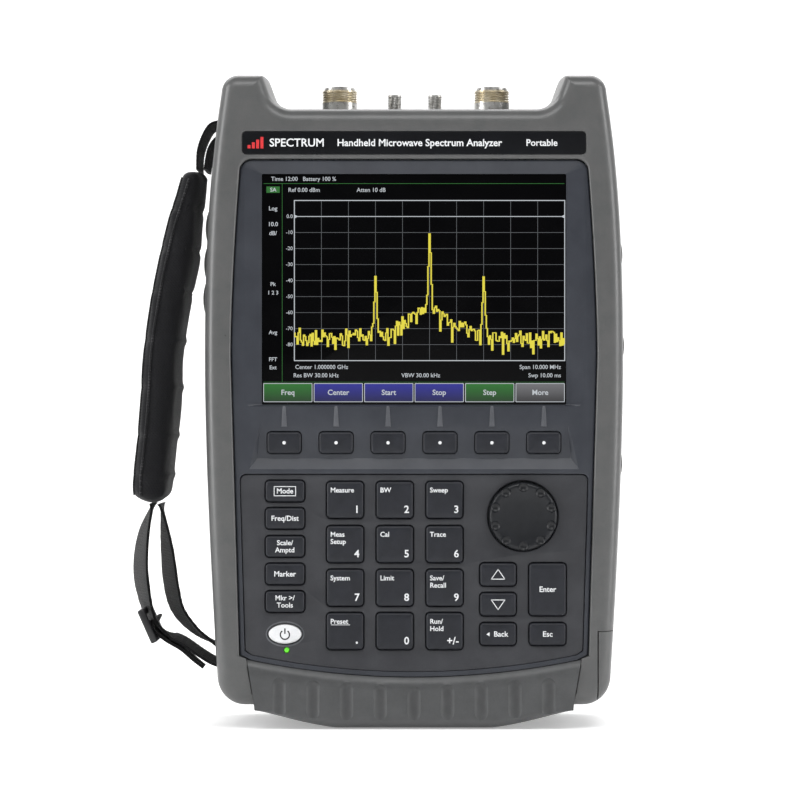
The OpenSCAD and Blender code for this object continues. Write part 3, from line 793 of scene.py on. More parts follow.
# Every key's centre, width and height
KEYS = {f"softkey_{i + 1}": (x, SOFT_Z, 15, 9.6) for i, x in enumerate(SOFT_X)}
for key_name, key_z in zip(("mode", "freq", "scale", "marker", "tools"), (105.7, 93.6, 81.2, 69.0, 56.8)):
    KEYS["key_" + key_name] = (LEFT_X, key_z, 17.2, 9.3)
KEYS["key_power"] = (LEFT_X, LOW_ROW_Z, 14.5, 8.4)
for index, key_name in enumerate(["1", "2", "3", "4", "5", "6", "7", "8", "9", "point", "0", "sign"]):
    KEYS["key_" + key_name] = (NUMBER_X[index % 3], NUMBER_Z[index // 3], 16.2, 16.2)
KEYS["key_up"] = (ARROW_X, 68.8, 15.9, 10.1)
KEYS["key_down"] = (ARROW_X, 55.6, 15.9, 10.1)
KEYS["key_back"] = (ARROW_X, LOW_ROW_Z, 15.9, 9.9)
KEYS["key_enter"] = (RIGHT_X, 62.2, 16.3, 23.2)
KEYS["key_esc"] = (RIGHT_X, LOW_ROW_Z, 16.1, 9.9)


def key_shape(name, t):
    """A key's outline, drawn in by t."""
    x, z, w, h = KEYS[name]
    return moved(oval(w, h, t) if name == "key_power" else round_rect(w, h, 1.7, t), x, z)


def key_pockets(soft, front, edge):
    """The holes that the soft keys, or all the others, stand in."""
    names = [name for name in KEYS if name.startswith("soft") == soft]
    return [pocket(lambda t, n=name: key_shape(n, t - 0.35), front, edge) for name in names]


def frustum(outer, outer_y, inner, inner_y):
    """A tool with sloped sides from an outer outline to an inner one, then straight through."""
    steps = ((outer, outer_y - 1), (outer, outer_y), (inner, inner_y), (inner, THROUGH_Y))
    return make("tool", *loft([layer(points, y) for points, y in steps]))


def hull(points):
    """A convex tool round some points."""
    work = bmesh.new()
    verts = [work.verts.new([c * MM for c in p]) for p in points]
    bmesh.ops.convex_hull(work, input=verts)
    return shade(from_bmesh(work))


def softkey_ramp():
    """The recess for the soft keys: it slopes in under the display and back out above the keypad."""
    points = []
    for x, y, z, rise in ((68.0, 0, 136.0, 1.5), (69.6, 2.2, 120.2, 0), (73.0, 0, 115.4, -0.8)):
        for side in (-1, 1):
            points.append((side * x, BEZEL_Y + y, z))
            points.append((side * (x + 0.3), BEZEL_Y - 1.5, z + rise))
    return hull(points)


def bezel():
    """The slate frame round the display, and the soft-key ramp under it."""
    body = plate("bezel_frame", lambda t: face_outline(t, low=0.2), BEZEL_Y, PANEL_BACK_Y, 1.2, "slate")
    outer = moved(round_rect(SCREEN_W + 15, SCREEN_H + 5.8, 3.0), 0, SCREEN_Z + 2.1)
    inner = moved(round_rect(SCREEN_W, SCREEN_H, 0.5), 0, SCREEN_Z)
    tools = [frustum(outer, BEZEL_Y, inner, BEZEL_Y + 1.9), softkey_ramp()]
    tools.append(pocket(lambda t: face_outline(2.2 + t, PANEL_TOP, 3, 2.2), BEZEL_Y, 0.35))
    combine(body, tools + key_pockets(True, BEZEL_Y + 0.4, 0.35))
    return attach(shade(body, 14), "case", ["display_bezel"])


def softkey_ribs():
    """Tapered ribs between the display and each soft key."""
    ribs = []
    for x in SOFT_X:
        rings = []
        for z, w, y in ((134.2, 1.3, -34.7), (134.6, 1.2, -35.1), (142.4, 0.75, -35.1),
                        (143.4, 0.6, -34.75)):
            half = [(w, -34.3), (w, y + 0.15), (w * 0.6, y)]
            rings.append([(x - dx, yy, z) for dx, yy in half] + [(x + dx, yy, z) for dx, yy in half[::-1]])
        ribs.append(make("rib", *loft(rings), "rib"))
    return attach(join("softkey_ribs", ribs), "case")


def keypad_panel():
    """The plate round the keypad, with holes for its keys, the knob and the lamp."""
    outline = lambda t: face_outline(2.4 + t, PANEL_TOP, 3, 2.4)
    body = plate("keypad_face", outline, PANEL_Y, PANEL_BACK_Y, 0.5, "panel")
    tools = key_pockets(False, PANEL_Y, 0.4)
    tools.append(pocket(lambda t: moved(oval(31.2, 31.2, t, 96), KNOB_X, KNOB_Z), PANEL_Y, 0.6))
    tools.append(pocket(lambda t: moved(oval(2.7, 2.7, t, 32), LED_X, LED_Z), PANEL_Y, 0.25))
    combine(body, tools)
    return attach(shade(body), "case", ["keypad_panel"])


def name_plate():
    """The gloss plate, with a mark of four bars and generic words."""
    front = -HALF_D
    outline = lambda t: moved(round_rect(PLATE_W, PLATE_H, 1.9, t), 0, PLATE_Z)
    body = plate("name_plate_body", outline, front, -35.05, 0.25, "plate")
    attach(body, "case", ["name_plate"])
    bars = []
    for x in [-73.6 + 1.9 * k for k in range(4)]:
        bars.append(strip_box(x, 257.3, x + 1.3, 258.8 + 1.2 * len(bars), front - 0.03, "red"))
    attach(join("name_plate_mark", bars), "case")
    words = (("left", "SPECTRUM", -51.8, 5.0, 0.05),
             ("title", "Handheld Microwave Spectrum Analyzer", 2.4, 4.4, 0.06),
             ("right", "Portable", 56.5, 4.1, 0.05))
    for name, text, x, size, bold in words:
        made = text_mesh(text, x, PLATE_Z - 0.1, front - 0.03, size, "ink", bold)
        made.name = "name_plate_" + name
        attach(made, "case")


def window():
    """The display's cover glass."""
    outline = lambda t: moved(round_rect(SCREEN_W + 6, SCREEN_H + 6, 2, t), 0, SCREEN_Z)
    pane = plate("window_pane", outline, -31.6, -30.4, 0.15, "glass")
    return attach(pane, "case", ["display_window"])


# ---- legends

def strip_box(x0, z0, x1, z1, y, material):
    """A thin printed or lit rectangle standing just in front of depth y."""
    return strip_shape(rectangle(x0, z0, x1, z1), y, material)


def strip_shape(points, y, material, depth=0.02):
    """A thin printed or lit polygon standing just in front of depth y."""
    return make("strip", *loft([layer(points, y - depth), layer(points, y)]), material)


def text_mesh(text, x, z, y, size, material, bold=0.0, align="CENTER"):
    """Lettering as a thin mesh, size millimetres high, facing the front."""
    curve = bpy.data.curves.new("text", "FONT")
    curve.body = text
    curve.size = size * MM
    curve.extrude = 0.01 * MM
    curve.offset = bold * size * MM * 0.3
    curve.align_x = align
    curve.align_y = "CENTER"
    curve.resolution_u = 3
    obj = linked("text", curve)
    graph = bpy.context.evaluated_depsgraph_get()
    graph.update()
    mesh = bpy.data.meshes.new_from_object(obj.evaluated_get(graph), depsgraph=graph)
    bpy.data.objects.remove(obj)
    for v in mesh.vertices:
        px, py, pz = v.co
        v.co = (px + x * MM, y * MM - pz, py + z * MM)
    mesh.materials.clear()
    mesh.materials.append(MATERIALS[material])
    return linked("text", mesh)


def frame_strips(x0, z0, x1, z1, w, y, material):
    """Four thin strips round a rectangle."""
    low, high = z0 + w, z1 - w
    sides = [(x0, z0, x1, low), (x0, high, x1, z1), (x0, low, x0 + w, high), (x1 - w, low, x1, high)]
    return [strip_box(*side, y, material) for side in sides]


# ---- keys

KEY_FRONT_Y = -35.9
SOFT_FRONT_Y = -35.1
FLANGE_Y = -31.5
PRINT = 0.03


def key_front(name):
    return SOFT_FRONT_Y if name.startswith("soft") else KEY_FRONT_Y


def key_cap(name, material, slot):
    """A key with a soft rounded crown, and a flange that holds it in."""
    front = key_front(name)
    steps = [(-30.9, -0.75), (FLANGE_Y, -0.75), (FLANGE_Y, 0), (front + 1.15, 0)]
    for k in range(1, 7):
        a = math.pi / 2 * k / 6
        steps.append((front + 1.15 - 0.95 * math.sin(a), 1.1 * (1 - math.cos(a))))
    steps += [(front + 0.12, 1.6), (front + 0.06, 2.3), (front + 0.02, 3.2), (front, 3.9)]
    rings = [layer(key_shape(name, t), y) for y, t in steps]
    return attach(make(name + "_crown", *loft(rings), material, 40), name + "_cap", [name])


def corner_legend(words, number):
    """A number key's legend: a word or two at its upper left, the number at its lower right."""
    parts = [(word, -6.5, 4.3 - 3.2 * k, 3.05, "LEFT") for k, word in enumerate(words)]
    if number:
        parts.append((number, 6.4, -4.3, 4.6, "RIGHT"))
    return parts


def printed(name, parts):
    """A key's legends. Each part is (text, dx, dz, size) from its centre, and perhaps an alignment."""
    x, z, _, _ = KEYS[name]
    y = key_front(name) - PRINT
    made = []
    for text, dx, dz, size, *align in parts:
        made.append(text_mesh(text, x + dx, z + dz, y, size, "ink", 0.06, *align))
    return made


def print_on(name, made):
    """Fixes legends to the key that carries them."""
    attach(join(name + "_legend", made, 60), name + "_cap")


# The words at the upper left of the number keys, and the side keys' words with their places and sizes
NUMBER_WORDS = {"1": ["Measure"], "2": ["BW"], "3": ["Sweep"], "4": ["Meas", "Setup"], "5": ["Cal"],
                "6": ["Trace"], "7": ["System"], "8": ["Limit"], "9": ["Save/", "Recall"], "0": []}
LEFT_WORDS = {
    "key_freq": [("Freq/Dist", 0, 0, 3.2)],
    "key_scale": [("Scale/", 0, 1.6, 3.1), ("Amptd", 0, -1.6, 3.1)],
    "key_marker": [("Marker", 0, 0, 3.3)],
    "key_tools": [("Mkr >/", 0, 1.6, 3.1), ("Tools", 0, -1.6, 3.1)],
}
RIGHT_WORDS = {
    "key_back": [("Back", 1.2, 0, 3.3)],
    "key_enter": [("Enter", 0, 0, 3.4)],
    "key_esc": [("Esc", 0, 0, 3.4)],
}


def soft_legends():
    """The dot on each soft key."""
    for i, x in enumerate(SOFT_X):
        dot = strip_shape(moved(oval(1.5, 1.5, 0, 20), x, SOFT_Z), SOFT_FRONT_Y - PRINT, "ink")
        print_on(f"softkey_{i + 1}", [dot])


def plain_legends():
    """The legends of words and numbers, and the back key's small arrow."""
    texts = dict(LEFT_WORDS)
    texts.update({"key_" + n: corner_legend(words, n) for n, words in NUMBER_WORDS.items()})
    texts["key_sign"] = corner_legend(["Run/", "Hold"], "+/-")
    texts.update(RIGHT_WORDS)
    for name, parts in texts.items():
        made = printed(name, parts)
        if name == "key_back":
            x, z, _, _ = KEYS[name]
            arrow = [(x - 5.2, z), (x - 3.8, z - 0.9), (x - 3.8, z + 0.9)]
            made.append(strip_shape(arrow, KEY_FRONT_Y - PRINT, "ink"))
        print_on(name, made)


def marked_legends():
    """The legends with a frame, an underline, a triangle or the power mark."""
    y = KEY_FRONT_Y - PRINT
    x, z, _, _ = KEYS["key_mode"]
    box = frame_strips(x - 4.9, z - 2.2, x + 4.9, z + 2.2, 0.32, y, "ink")
    print_on("key_mode", printed("key_mode", [("Mode", 0, 0, 3.2)]) + box)
    x, z, _, _ = KEYS["key_point"]
    line = strip_box(x - 6.2, z + 2.75, x + 2.2, z + 3.0, y, "ink")
    dot = strip_shape(moved(oval(1.0, 1.0, 0, 20), x + 5.2, z - 5.0), y, "ink")
    print_on("key_point", printed("key_point", corner_legend(["Preset"], "")) + [line, dot])
    for name, turn in (("key_up", 1), ("key_down", -1)):
        print_on(name, triangle_outline(name, turn, y))
    print_on("key_power", power_symbol())


def triangle_outline(name, turn, y):
    """An outlined triangle that points up (turn 1) or down (-1), as three bars."""
    x, z, _, _ = KEYS[name]
    corners = [(x - 3.0, z - 2.0 * turn), (x + 3.0, z - 2.0 * turn), (x, z + 2.3 * turn)]
    bars = []
    for k in range(3):
        a = Vector(corners[k])
        b = Vector(corners[(k + 1) % 3])
        d = (b - a).normalized() * 0.18
        n = Vector((-d.y, d.x))
        bars.append(strip_shape([a - d - n, b + d - n, b + d + n, a - d + n], y, "ink"))
    return bars


def power_symbol():
    """The usual power mark: an open ring and a stroke."""
    x, z, _, _ = KEYS["key_power"]
    y = KEY_FRONT_Y - PRINT
    outer = arc(x, z - 0.2, 2.3, 125, 415, 24)
    inner = arc(x, z - 0.2, 1.75, 415, 125, 24)
    ring = strip_shape(outer + inner, y, "plate")
    return [ring, strip_box(x - 0.28, z + 0.2, x + 0.28, z + 2.6, y, "plate")]


def power_ring():
    """The faint ring printed round the power key."""
    x, z, w, h = KEYS["key_power"]
    shapes = (moved(oval(w + 2.7, h + 3.0), x, z), moved(oval(w + 1.6, h + 1.6), x, z))
    ring = make("power_ring", *loft([layer(shapes[0], y) for y in (PANEL_Y - 0.12, PANEL_Y + 0.05)]), "ring")
    combine(ring, [make("tool", *loft([layer(shapes[1], y) for y in (PANEL_Y - 1, PANEL_Y + 1)]))])
    return attach(shade(ring), "case")


def all_keys():
    """Every key's crown and legend, and the ring round the power key."""
    for name in KEYS:
        key_cap(name, *(("power", "power_key") if name == "key_power" else ("key", "key_rubber")))
    power_ring()
    soft_legends()
    plain_legends()
    marked_legends()


# ---- knob and lamp

def lathe(profile, centre, axis, steps, name, material=None, sharp=32, shift=None):
    """A turned part. Profile points are (radius, distance along the axis); axis is Y or Z.
    shift(angle, distance) is added to the radius."""
    rings = []
    for r, d in profile:
        ring = []
        for a in turns(steps):
            radius = max(0.01, r + (shift(a, d) if shift else 0))
            u, v = radius * math.cos(a), radius * math.sin(a)
            ring.append(Vector(centre) + Vector((u, v, d) if axis == "Z" else (u, d, v)))
        rings.append(ring)
    return make(name, *loft(rings), material, sharp)


def knob():
    """The tuning knob: a slightly dished face with finger dimples near its rim."""
    profile = [(0.05, 0.85), (4, 0.82), (8, 0.7), (10.5, 0.42), (12.4, 0.12), (13.2, 0.0), (13.8, 0.06)]
    profile += [(14.4, 0.32), (14.8, 0.75), (15, 1.4), (15, 8), (3, 8.0), (3, 20), (0.05, 20)]
    cap = lathe(profile, (KNOB_X, -40, KNOB_Z), "Y", 160, "knob_cap", "knob", 40)
    dimples = arc(KNOB_X, KNOB_Z, 13.0, 18, 342, 9)
    combine(cap, [ball((x, -41.3, z), 2.7) for x, z in dimples])
    return attach(shade(cap, 40), "tuning_knob", ["knob"])


def status_led():
    """The lamp's small dome."""
    profile = [(0.05, 0.0), (0.45, 0.03), (0.8, 0.18), (1.05, 0.5), (1.05, 5), (0.05, 5)]
    dome = lathe(profile, (LED_X, -34.48, LED_Z), "Y", 32, "led_dome", "led", 50)
    return attach(dome, "case", ["status_led"])


# ---- display picture

GLASS_Y = -31.62
GRID = (-53.1, 163.5, 66.9, 234.6)
PEAKS = ((7, 222.0, 0.8), (-17, 202.5, 0.65), (31, 202.5, 0.65))
BOX_Z = 149.3


def on_display(name, parts, sharp=32):
    """Parts of the display picture, as one piece."""
    return attach(join(name, parts, sharp), "case")


def trace_level(x):
    """Height of the measured trace: a tall peak, two lesser ones and a noise floor with a low hump."""
    level = 173.6 + 12.5 * math.exp(-((x - 7) / 14) ** 2)
    for centre, peak, width in PEAKS:
        level = max(level, 168 + (peak - 168) * math.exp(-abs((x - centre) / width) ** 1.25 * 0.55))
    return level


def trace():
    """The trace as a ribbon of strokes."""
    rng = random.Random(11)
    x0, _, x1, _ = GRID
    count = 250
    points = []
    for i in range(count + 1):
        x = x0 + (x1 - x0) * i / count
        level = trace_level(x)
        loose = 4.6 if level < 188 else 0.4
        dip = 6.0 * rng.random() if rng.random() > 0.93 and level < 188 else 0.0
        points.append((x, max(164.5, level + loose * (rng.random() + rng.random() - 1) - dip)))
    verts, faces = [], []
    for (xa, za), (xb, zb) in zip(points, points[1:]):
        low, high = min(za, zb) - 0.16, max(za, zb) + 0.16
        corners = rectangle(xa - 0.06, low, xb + 0.06, high)
        stroke, sides = loft([layer(corners, GLASS_Y - 0.04), layer(corners, GLASS_Y - 0.02)])
        faces += [[len(verts) + i for i in side] for side in sides]
        verts += stroke
    return attach(make("screen_trace", verts, faces, "yellow"), "case")


def grid_lines():
    """The grid, its frame, the reference line and the marks at its ends."""
    x0, z0, x1, z1 = GRID
    grey = []
    for k in range(1, 10):
        x = x0 + (x1 - x0) * k / 10
        z = z0 + (z1 - z0) * k / 10
        grey.append(strip_box(x - 0.11, z0, x + 0.11, z1, GLASS_Y, "grid"))
        grey.append(strip_box(x0, z - 0.11, x1, z + 0.11, GLASS_Y, "grid"))
    on_display("screen_grid", grey)
    front = GLASS_Y - 0.01
    white = frame_strips(x0 - 0.2, z0 - 0.2, x1 + 0.2, z1 + 0.2, 0.4, front, "white")
    level = z1 - (z1 - z0) / 10
    white.append(strip_box(x0 + 0.2, level - 0.16, x1 - 0.2, level + 0.16, front, "white"))
    for x, tip in ((x0, x0 + 1.6), (x1, x1 - 1.6)):
        mark = [(x, level - 0.9), (x, level + 0.9), (tip, level)]
        white.append(strip_shape(mark, GLASS_Y - 0.02, "white"))
    on_display("screen_frame", white)


def screen_text():
    """The readings round the grid: made-up values in the usual places."""
    rows = [("Log", 231.0, 2.6), ("10.0", 224.0, 2.6), ("dB/", 220.0, 2.6), ("Pk", 197.4, 2.4),
            ("1 2 3", 193.6, 2.4), ("Avg", 176.0, 2.4), ("FFT", 164.0, 2.4), ("Ext", 160.4, 2.4)]
    front = GLASS_Y - 0.02
    made = [text_mesh(text, -62.6, z, front, size, "white", 0.05) for text, z, size in rows]
    for k in range(9):
        text = f"-{k}0" if k else "0.0"
        made.append(text_mesh(text, -53.8, 227.5 - 7.11 * k, front, 2.3, "white", 0.02, "RIGHT"))
    lines = {239.2: [("Ref 0.00 dBm", -48.8), ("Atten 10 dB", -19.0)],
             160.6: [("Center 1.000000 GHz", -41.0), ("Span 10.000 MHz", 56.0)],
             156.9: [("Res BW 30.00 kHz", -43.5), ("VBW 30.00 kHz", 3.0), ("Swp 10.00 ms", 58.0)]}
    for z, words in lines.items():
        made += [text_mesh(text, x, z, front, 2.6, "white", 0.03) for text, x in words]
    on_display("screen_text", made, 60)


def screen_status():
    """The status row's green lines and tag."""
    boxes = ((-66.8, 242.0, 66.8, 242.2), (-66.8, 153.9, 66.8, 154.05), (-65.5, 238.0, -59.6, 240.8),
             (-58.6, 154.05, -58.4, 242.0))
    on_display("screen_status", [strip_box(*box, GLASS_Y, "green") for box in boxes])


def screen_labels():
    """The six lit boxes over the soft keys, and the status row's words."""
    text = [text_mesh("SA", -62.5, 239.3, GLASS_Y - 0.03, 2.5, "white", 0.05),
            text_mesh("Time 12:00   Battery 100 %", -49.0, 244.1, GLASS_Y - 0.02, 2.6, "white", 0.03)]
    tones = {"green": ((2, 46, 6), (18, 112, 24)), "blue": ((4, 4, 66), (26, 30, 150)),
             "grey": ((40, 40, 42), (112, 112, 116))}
    for tone, (low, high) in tones.items():
        MATERIALS["box_" + tone] = shaded_glow(f"screen_box_{tone}_look", low, high, 145, 153.5)
    labels = (("Freq", "green"), ("Center", "blue"), ("Start", "blue"), ("Stop", "blue"), ("Step", "green"),
              ("More", "grey"))
    boxes, rims = [], []
    for i, (word, tone) in enumerate(labels):
        x = (i - 2.5) * 22.4
        rims.append(strip_shape(moved(round_rect(21.8, 8.4, 0.4), x, BOX_Z), GLASS_Y, "white", 0.005))
        boxes.append(strip_shape(moved(round_rect(21.2, 7.8, 0.3), x, BOX_Z), GLASS_Y, "box_" + tone, 0.015))
        text.append(text_mesh(word, x, BOX_Z, GLASS_Y - 0.02, 3.3, "white", 0.06))
    on_display("screen_box_rims", rims)
    on_display("screen_boxes", boxes)
    on_display("screen_words", text, 60)


# ---- connectors

RF_R = 7.94
SMA_R = 3.175


def turned(profile, x, steps, material, bore=None):
    """A part of a port, turned about the port's axis. bore is a hole's (radius, lowest z)."""
    part = lathe(profile, (x, 0, 0), "Z", steps, "part", material, 40)
    if bore:
        combine(part, [rod((x, 0, bore[1]), (0, 0, 1), 12, bore[0], 48)])
        shade(part, 40)
    return part


def thread(radius, z0, z1, pitch, depth, x, material, bore, steps=72):
    """A threaded barrel with an open bore of (radius, lowest z) at its top."""
    rows = int((z1 - z0) / pitch * 8)
    profile = [(radius, 0)] + [(radius, (z1 - z0) * k / rows) for k in range(rows + 1)]

    def groove(angle, distance):
        if distance < 0.4 or distance > z1 - z0 - 0.9:
            return -depth * 0.6 if distance > z1 - z0 - 0.5 else 0
        phase = (distance / pitch - angle / (2 * math.pi)) % 1
        return -depth * (1 - abs(2 * phase - 1))

    barrel = lathe(profile, (x, 0, z0), "Z", steps, "part", material, 40, groove)
    combine(barrel, [rod((x, 0, bore[1]), (0, 0, 1), 30, bore[0], 48)])
    return shade(barrel, 40)


def hex_nut(x, z0, z1, r):
    """A hexagon nut with chamfered corners."""
    corners = arc(x, 0, r, 0, 300, 5)
    nut = make("part", *loft([[(px, py, z) for px, py in corners] for z in (z0, z1)]), "nickel")
    profile = [(r * 0.9, z0 - 0.01), (r * 1.02, z0 + 0.6), (r * 1.02, z1 - 0.7), (r * 0.88, z1 + 0.01)]
    combine(nut, [lathe(profile, (x, 0, 0), "Z", 96, "tool")], "INTERSECT")
    return shade(nut)


def stub(x, radius, steps):
    """The part of a port below its nut."""
    return turned([(radius, 261), (radius, 270.5), (0.1, 270.5), (0.1, 261)], x, steps, "nickel")


def rf_ports():
    """The large ports: nut, split barrel with a threaded band, outer sleeve, insulator and pin."""
    collar = [(9.4, 273.5), (9.4, 276.2), (9.0, 276.6), (RF_R, 276.7), (RF_R, 281.0), (0.1, 281.0),
              (0.1, 273.5)]
    tip = [(7.0, 286.1), (7.0, 287.7), (6.7, 288), (5.6, 288), (5.3, 287.7), (5.3, 286.1)]
    core = [(4.1, 280.5), (4.1, 286.4), (0.1, 286.4), (0.1, 280.5)]
    pin = [(1.5, 278.5), (1.5, 285), (1.1, 285.8), (0.1, 285.8)]
    parts = []
    for x in PORT_X["rf"]:
        parts.append(hex_nut(x, 270, 273.6, 11))
        parts.append(turned(collar, x, 72, "nickel"))
        parts.append(thread(RF_R, 280.9, 286.6, 1.06, 0.62, x, "brass", (4.1, 279)))
        parts.append(turned(tip, x, 72, "nickel", (5.3, 285)))
        parts.append(turned(core, x, 48, "teflon", (2.6, 279)))
        parts.append(turned(pin, x, 32, "brass"))
        parts.append(stub(x, 4.8, 48))
    return attach(join("rf_port_bodies", parts, 40), "case", ["rf_ports"])


def sma_ports():
    """The small ports: nut, threaded barrel and pin."""
    parts = []
    for x in PORT_X["sma"]:
        parts.append(hex_nut(x, 270, 272.4, 4.6))
        parts.append(thread(SMA_R, 272.3, 284.7, 0.71, 0.36, x, "nickel", (2.05, 279.7), 48))
        parts.append(turned([(0.65, 276), (0.65, 282.6), (0.4, 283), (0.05, 283)], x, 24, "brass"))
        parts.append(stub(x, 2.4, 32))
    return attach(join("sma_port_bodies", parts, 40), "case", ["sma_ports"])


# ---- strap

def smooth_route(points, steps):
    """A Catmull-Rom line through points."""
    route = []
    pts = [Vector(p) for p in points]
    last = len(pts) - 1
    for i in range(last):
        a, b, c, d = pts[max(0, i - 1)], pts[i], pts[i + 1], pts[min(last, i + 2)]
        for s in range(steps):
            t = s / steps
            route.append(0.5 * (2 * b + (c - a) * t + (2 * a - 5 * b + 4 * c - d) * t * t
                                + (3 * b - a - 3 * c + d) * t ** 3))
    route.append(pts[last])
    return route


def across(route, i):
    """The unit normal of a route at a point."""
    d = (route[min(len(route) - 1, i + 1)] - route[max(0, i - 1)]).normalized()
    return Vector((-d.y, d.x))


WEB_T = 1.9
WEB_W = 30.0
WRAP_R = 3.3
PAD_TOP = 250.0
PAD_BOTTOM = 99.0
PAD_HALF_T = 8.75


def wrap(bar, turn, end):
    """The webbing's way round a bar."""
    angles = [math.radians(a) for a in range(110, end - 1, -55)]
    return [(bar[0] + WRAP_R * math.cos(a), bar[1] + turn * WRAP_R * math.sin(a)) for a in angles]


UPPER_ROUTE = [(-97.5, 250), (-97.2, 258), (-95, 265), (-91.5, 270.2)] + wrap(BARS[0], 1, -110)
UPPER_ROUTE += [(-89.5, 263.6), (-92.6, 258.5), (-94.1, 250)]
LOWER_ROUTE = [(-118.6, 99), (-123, 85), (-124.5, 70), (-122.7, 56), (-119.2, 46), (-113.5, 40.5),
               (-105, 36.5), (-97, 31), (-90.5, 27.2)] + wrap(BARS[1], -1, -55)
LOWER_ROUTE += [(-91.5, 36), (-100, 41.5), (-107.5, 50.5), (-110.6, 62), (-112.4, 78), (-115, 99)]
PAD_ROUTE = [(-95.8, 250.5), (-99.5, 236), (-104.2, 220), (-108.3, 202), (-111.5, 184), (-113.9, 166),
             (-115.1, 146), (-116.9, 125), (-118.6, 110), (-118.9, 99)]
TAIL_ROUTE = [(-116.5, 47.5), (-117.6, 42.6), (-112, 37.4), (-105.5, 33.2), (-100, 28.2), (-95.5, 24.6)]


def lower_twist(share):
    """The lower loop's section turns on its two long strands, and lies flat round the bar."""
    if share < 0.36:
        return -17.0 * math.sin(math.pi * share / 0.36) ** 0.6
    return 17.0 * max(0.0, math.sin(math.pi * (share - 0.6) / 0.4)) ** 0.6 if share > 0.6 else 0.0


def webbing(name, points, node=None, twist=None):
    """A strap along a route, with ribbed edges. twist(share of its length) turns its section, in degrees."""
    coarse = smooth_route(points, 12)
    length = sum((b - a).length for a, b in zip(coarse, coarse[1:]))
    rings = []
    done = 0.0
    for i, p in enumerate(coarse):
        if i:
            done += (p - coarse[i - 1]).length
        n = across(coarse, i)
        turn = math.radians(twist(done / length) if twist else 0)
        pulse = 0.5 + 0.5 * math.cos(2 * math.pi * done / 1.3)
        ring = []
        for side, sign in ((1, 1), (-1, -1)):
            for k in range(9):
                u = (-1 + k / 4) * sign
                edge = abs(u) ** 6
                h = WEB_T / 2 * (1 - 0.32 * edge) - 0.1 * pulse
                reach = u * (WEB_W / 2 - 0.18 * pulse)
                off = h * side * math.cos(turn) + reach * math.sin(turn)
                y = reach * math.cos(turn) - h * side * math.sin(turn)
                ring.append((p.x + n.x * off, y, p.y + n.y * off))
        rings.append(ring)
    return attach(make(name, *loft(rings), "webbing", 60), "case", [node] if node else [])


def buckle():
    """The three-bar slider: a rounded frame with two slots."""
    return refined("strap_slider", "slider_frame", "buckle", 0.7)


def pad_section(route, i, scale):
    """The pad's inner and outer surface points at a place along its route."""
    n = across(route, i)
    last = len(route) - 1
    half = PAD_HALF_T * max(0.0, 1 - abs(2 * i / last - 1) ** 20) ** 0.5 + 1.2
    inner = min(half, abs(route[i].x) - half_w(route[i].y) - 2.4)
    return route[i] - n * half * scale, route[i] + n * inner * scale


def pad_shape(name, scale, half_y):
    """The pad as a loft of rounded sections, scale times its full thickness."""
    route = smooth_route(PAD_ROUTE, 4)
    rings = []
    for i in range(len(route)):
        outer, inner = pad_section(route, i, scale)
        ends = min(1.0, 0.72 + 0.28 * math.sin(math.pi * min(1.0, min(i, len(route) - 1 - i) / 7) / 2))
        half = half_y * ends
        middle = (outer + inner) / 2
        reach = (outer - inner) / 2
        ring = []
        for a in turns(28):
            u = math.copysign(abs(math.cos(a)) ** 0.5, math.cos(a))
            v = math.copysign(abs(math.sin(a)) ** 0.42, math.sin(a))
            at = middle + reach * u
            ring.append((at.x, half * v, at.y))
        rings.append(ring)
    return make(name, *loft(rings), "fabric", 80)


QUILT_Z = (232.0, 214.0, 195.0, 173.0, 152.0, 130.0, 112.0)


def voxels(pad):
    """Gives the pad an even mesh."""
    work = pad.modifiers.new("voxels", "REMESH")
    work.mode = "VOXEL"
    work.voxel_size = 4.5 * MM
    return settle(pad)


def inflate_pad(pad):
    """Swells the pad as stuffed cloth, held along its quilted seams and at its ends."""
    start = [v.co.copy() for v in pad.data.vertices]
    held = pad.vertex_groups.new(name="held")
    for v in pad.data.vertices:
        near = min(abs(v.co.z / MM - z) for z in QUILT_Z)
        end = min(abs(v.co.z / MM - PAD_TOP), abs(v.co.z / MM - PAD_BOTTOM))
        if near < 2.0:
            held.add([v.index], 0.9, "REPLACE")
        if end < 5:
            held.add([v.index], 1.0, "REPLACE")
    cloth = pad.modifiers.new("cloth", "CLOTH")
    cloth.settings.use_pressure = True
    cloth.settings.uniform_pressure_force = 4
    cloth.settings.effector_weights.gravity = 0
    cloth.settings.vertex_group_mass = "held"
    cloth.settings.quality = 6
    cloth.point_cache.frame_start = 1
    cloth.point_cache.frame_end = 20
    for step in range(1, 21):
        scene.frame_set(step)
        pad.evaluated_get(bpy.context.evaluated_depsgraph_get())
    settle(pad)
    scene.frame_set(1)
    cap = 5.0 * MM
    for v, before in zip(pad.data.vertices, start):
        step = v.co - before
        if step.length > cap:
            v.co = before + step * (cap / step.length)
    return pad


def hold_off_case(pad):
    """Keeps the pad's inner side clear of the case, and its outer side in the room the CAD pad has."""
    route = smooth_route(PAD_ROUTE, 4)
    for v in pad.data.vertices:
        z = v.co.z / MM
        limit = -(half_w(min(max(z, 60), 270)) + 1.6)
        if v.co.x / MM > limit:
            v.co.x = limit * MM
        near = min(range(len(route)), key=lambda i: abs(route[i].y - z))
        far = route[near].x - 10.6
        if v.co.x / MM < far:
            v.co.x = far * MM


def quilt(pad):
    """Presses the sewn channels in across the pad's inner and outer faces."""
    for v in pad.data.vertices:
        z = v.co.z / MM
        dent = sum(math.exp(-((z - s) / 1.5) ** 2) for s in QUILT_Z)
        middle = -PAD_HALF_T - half_w(z)
        v.co.x -= math.copysign(0.7 * dent, v.co.x / MM - middle) * MM
        v.co += Vector((noise.noise(v.co * 60), 0, noise.noise(v.co * 60 + Vector((3, 0, 0))))) * 0.5 * MM


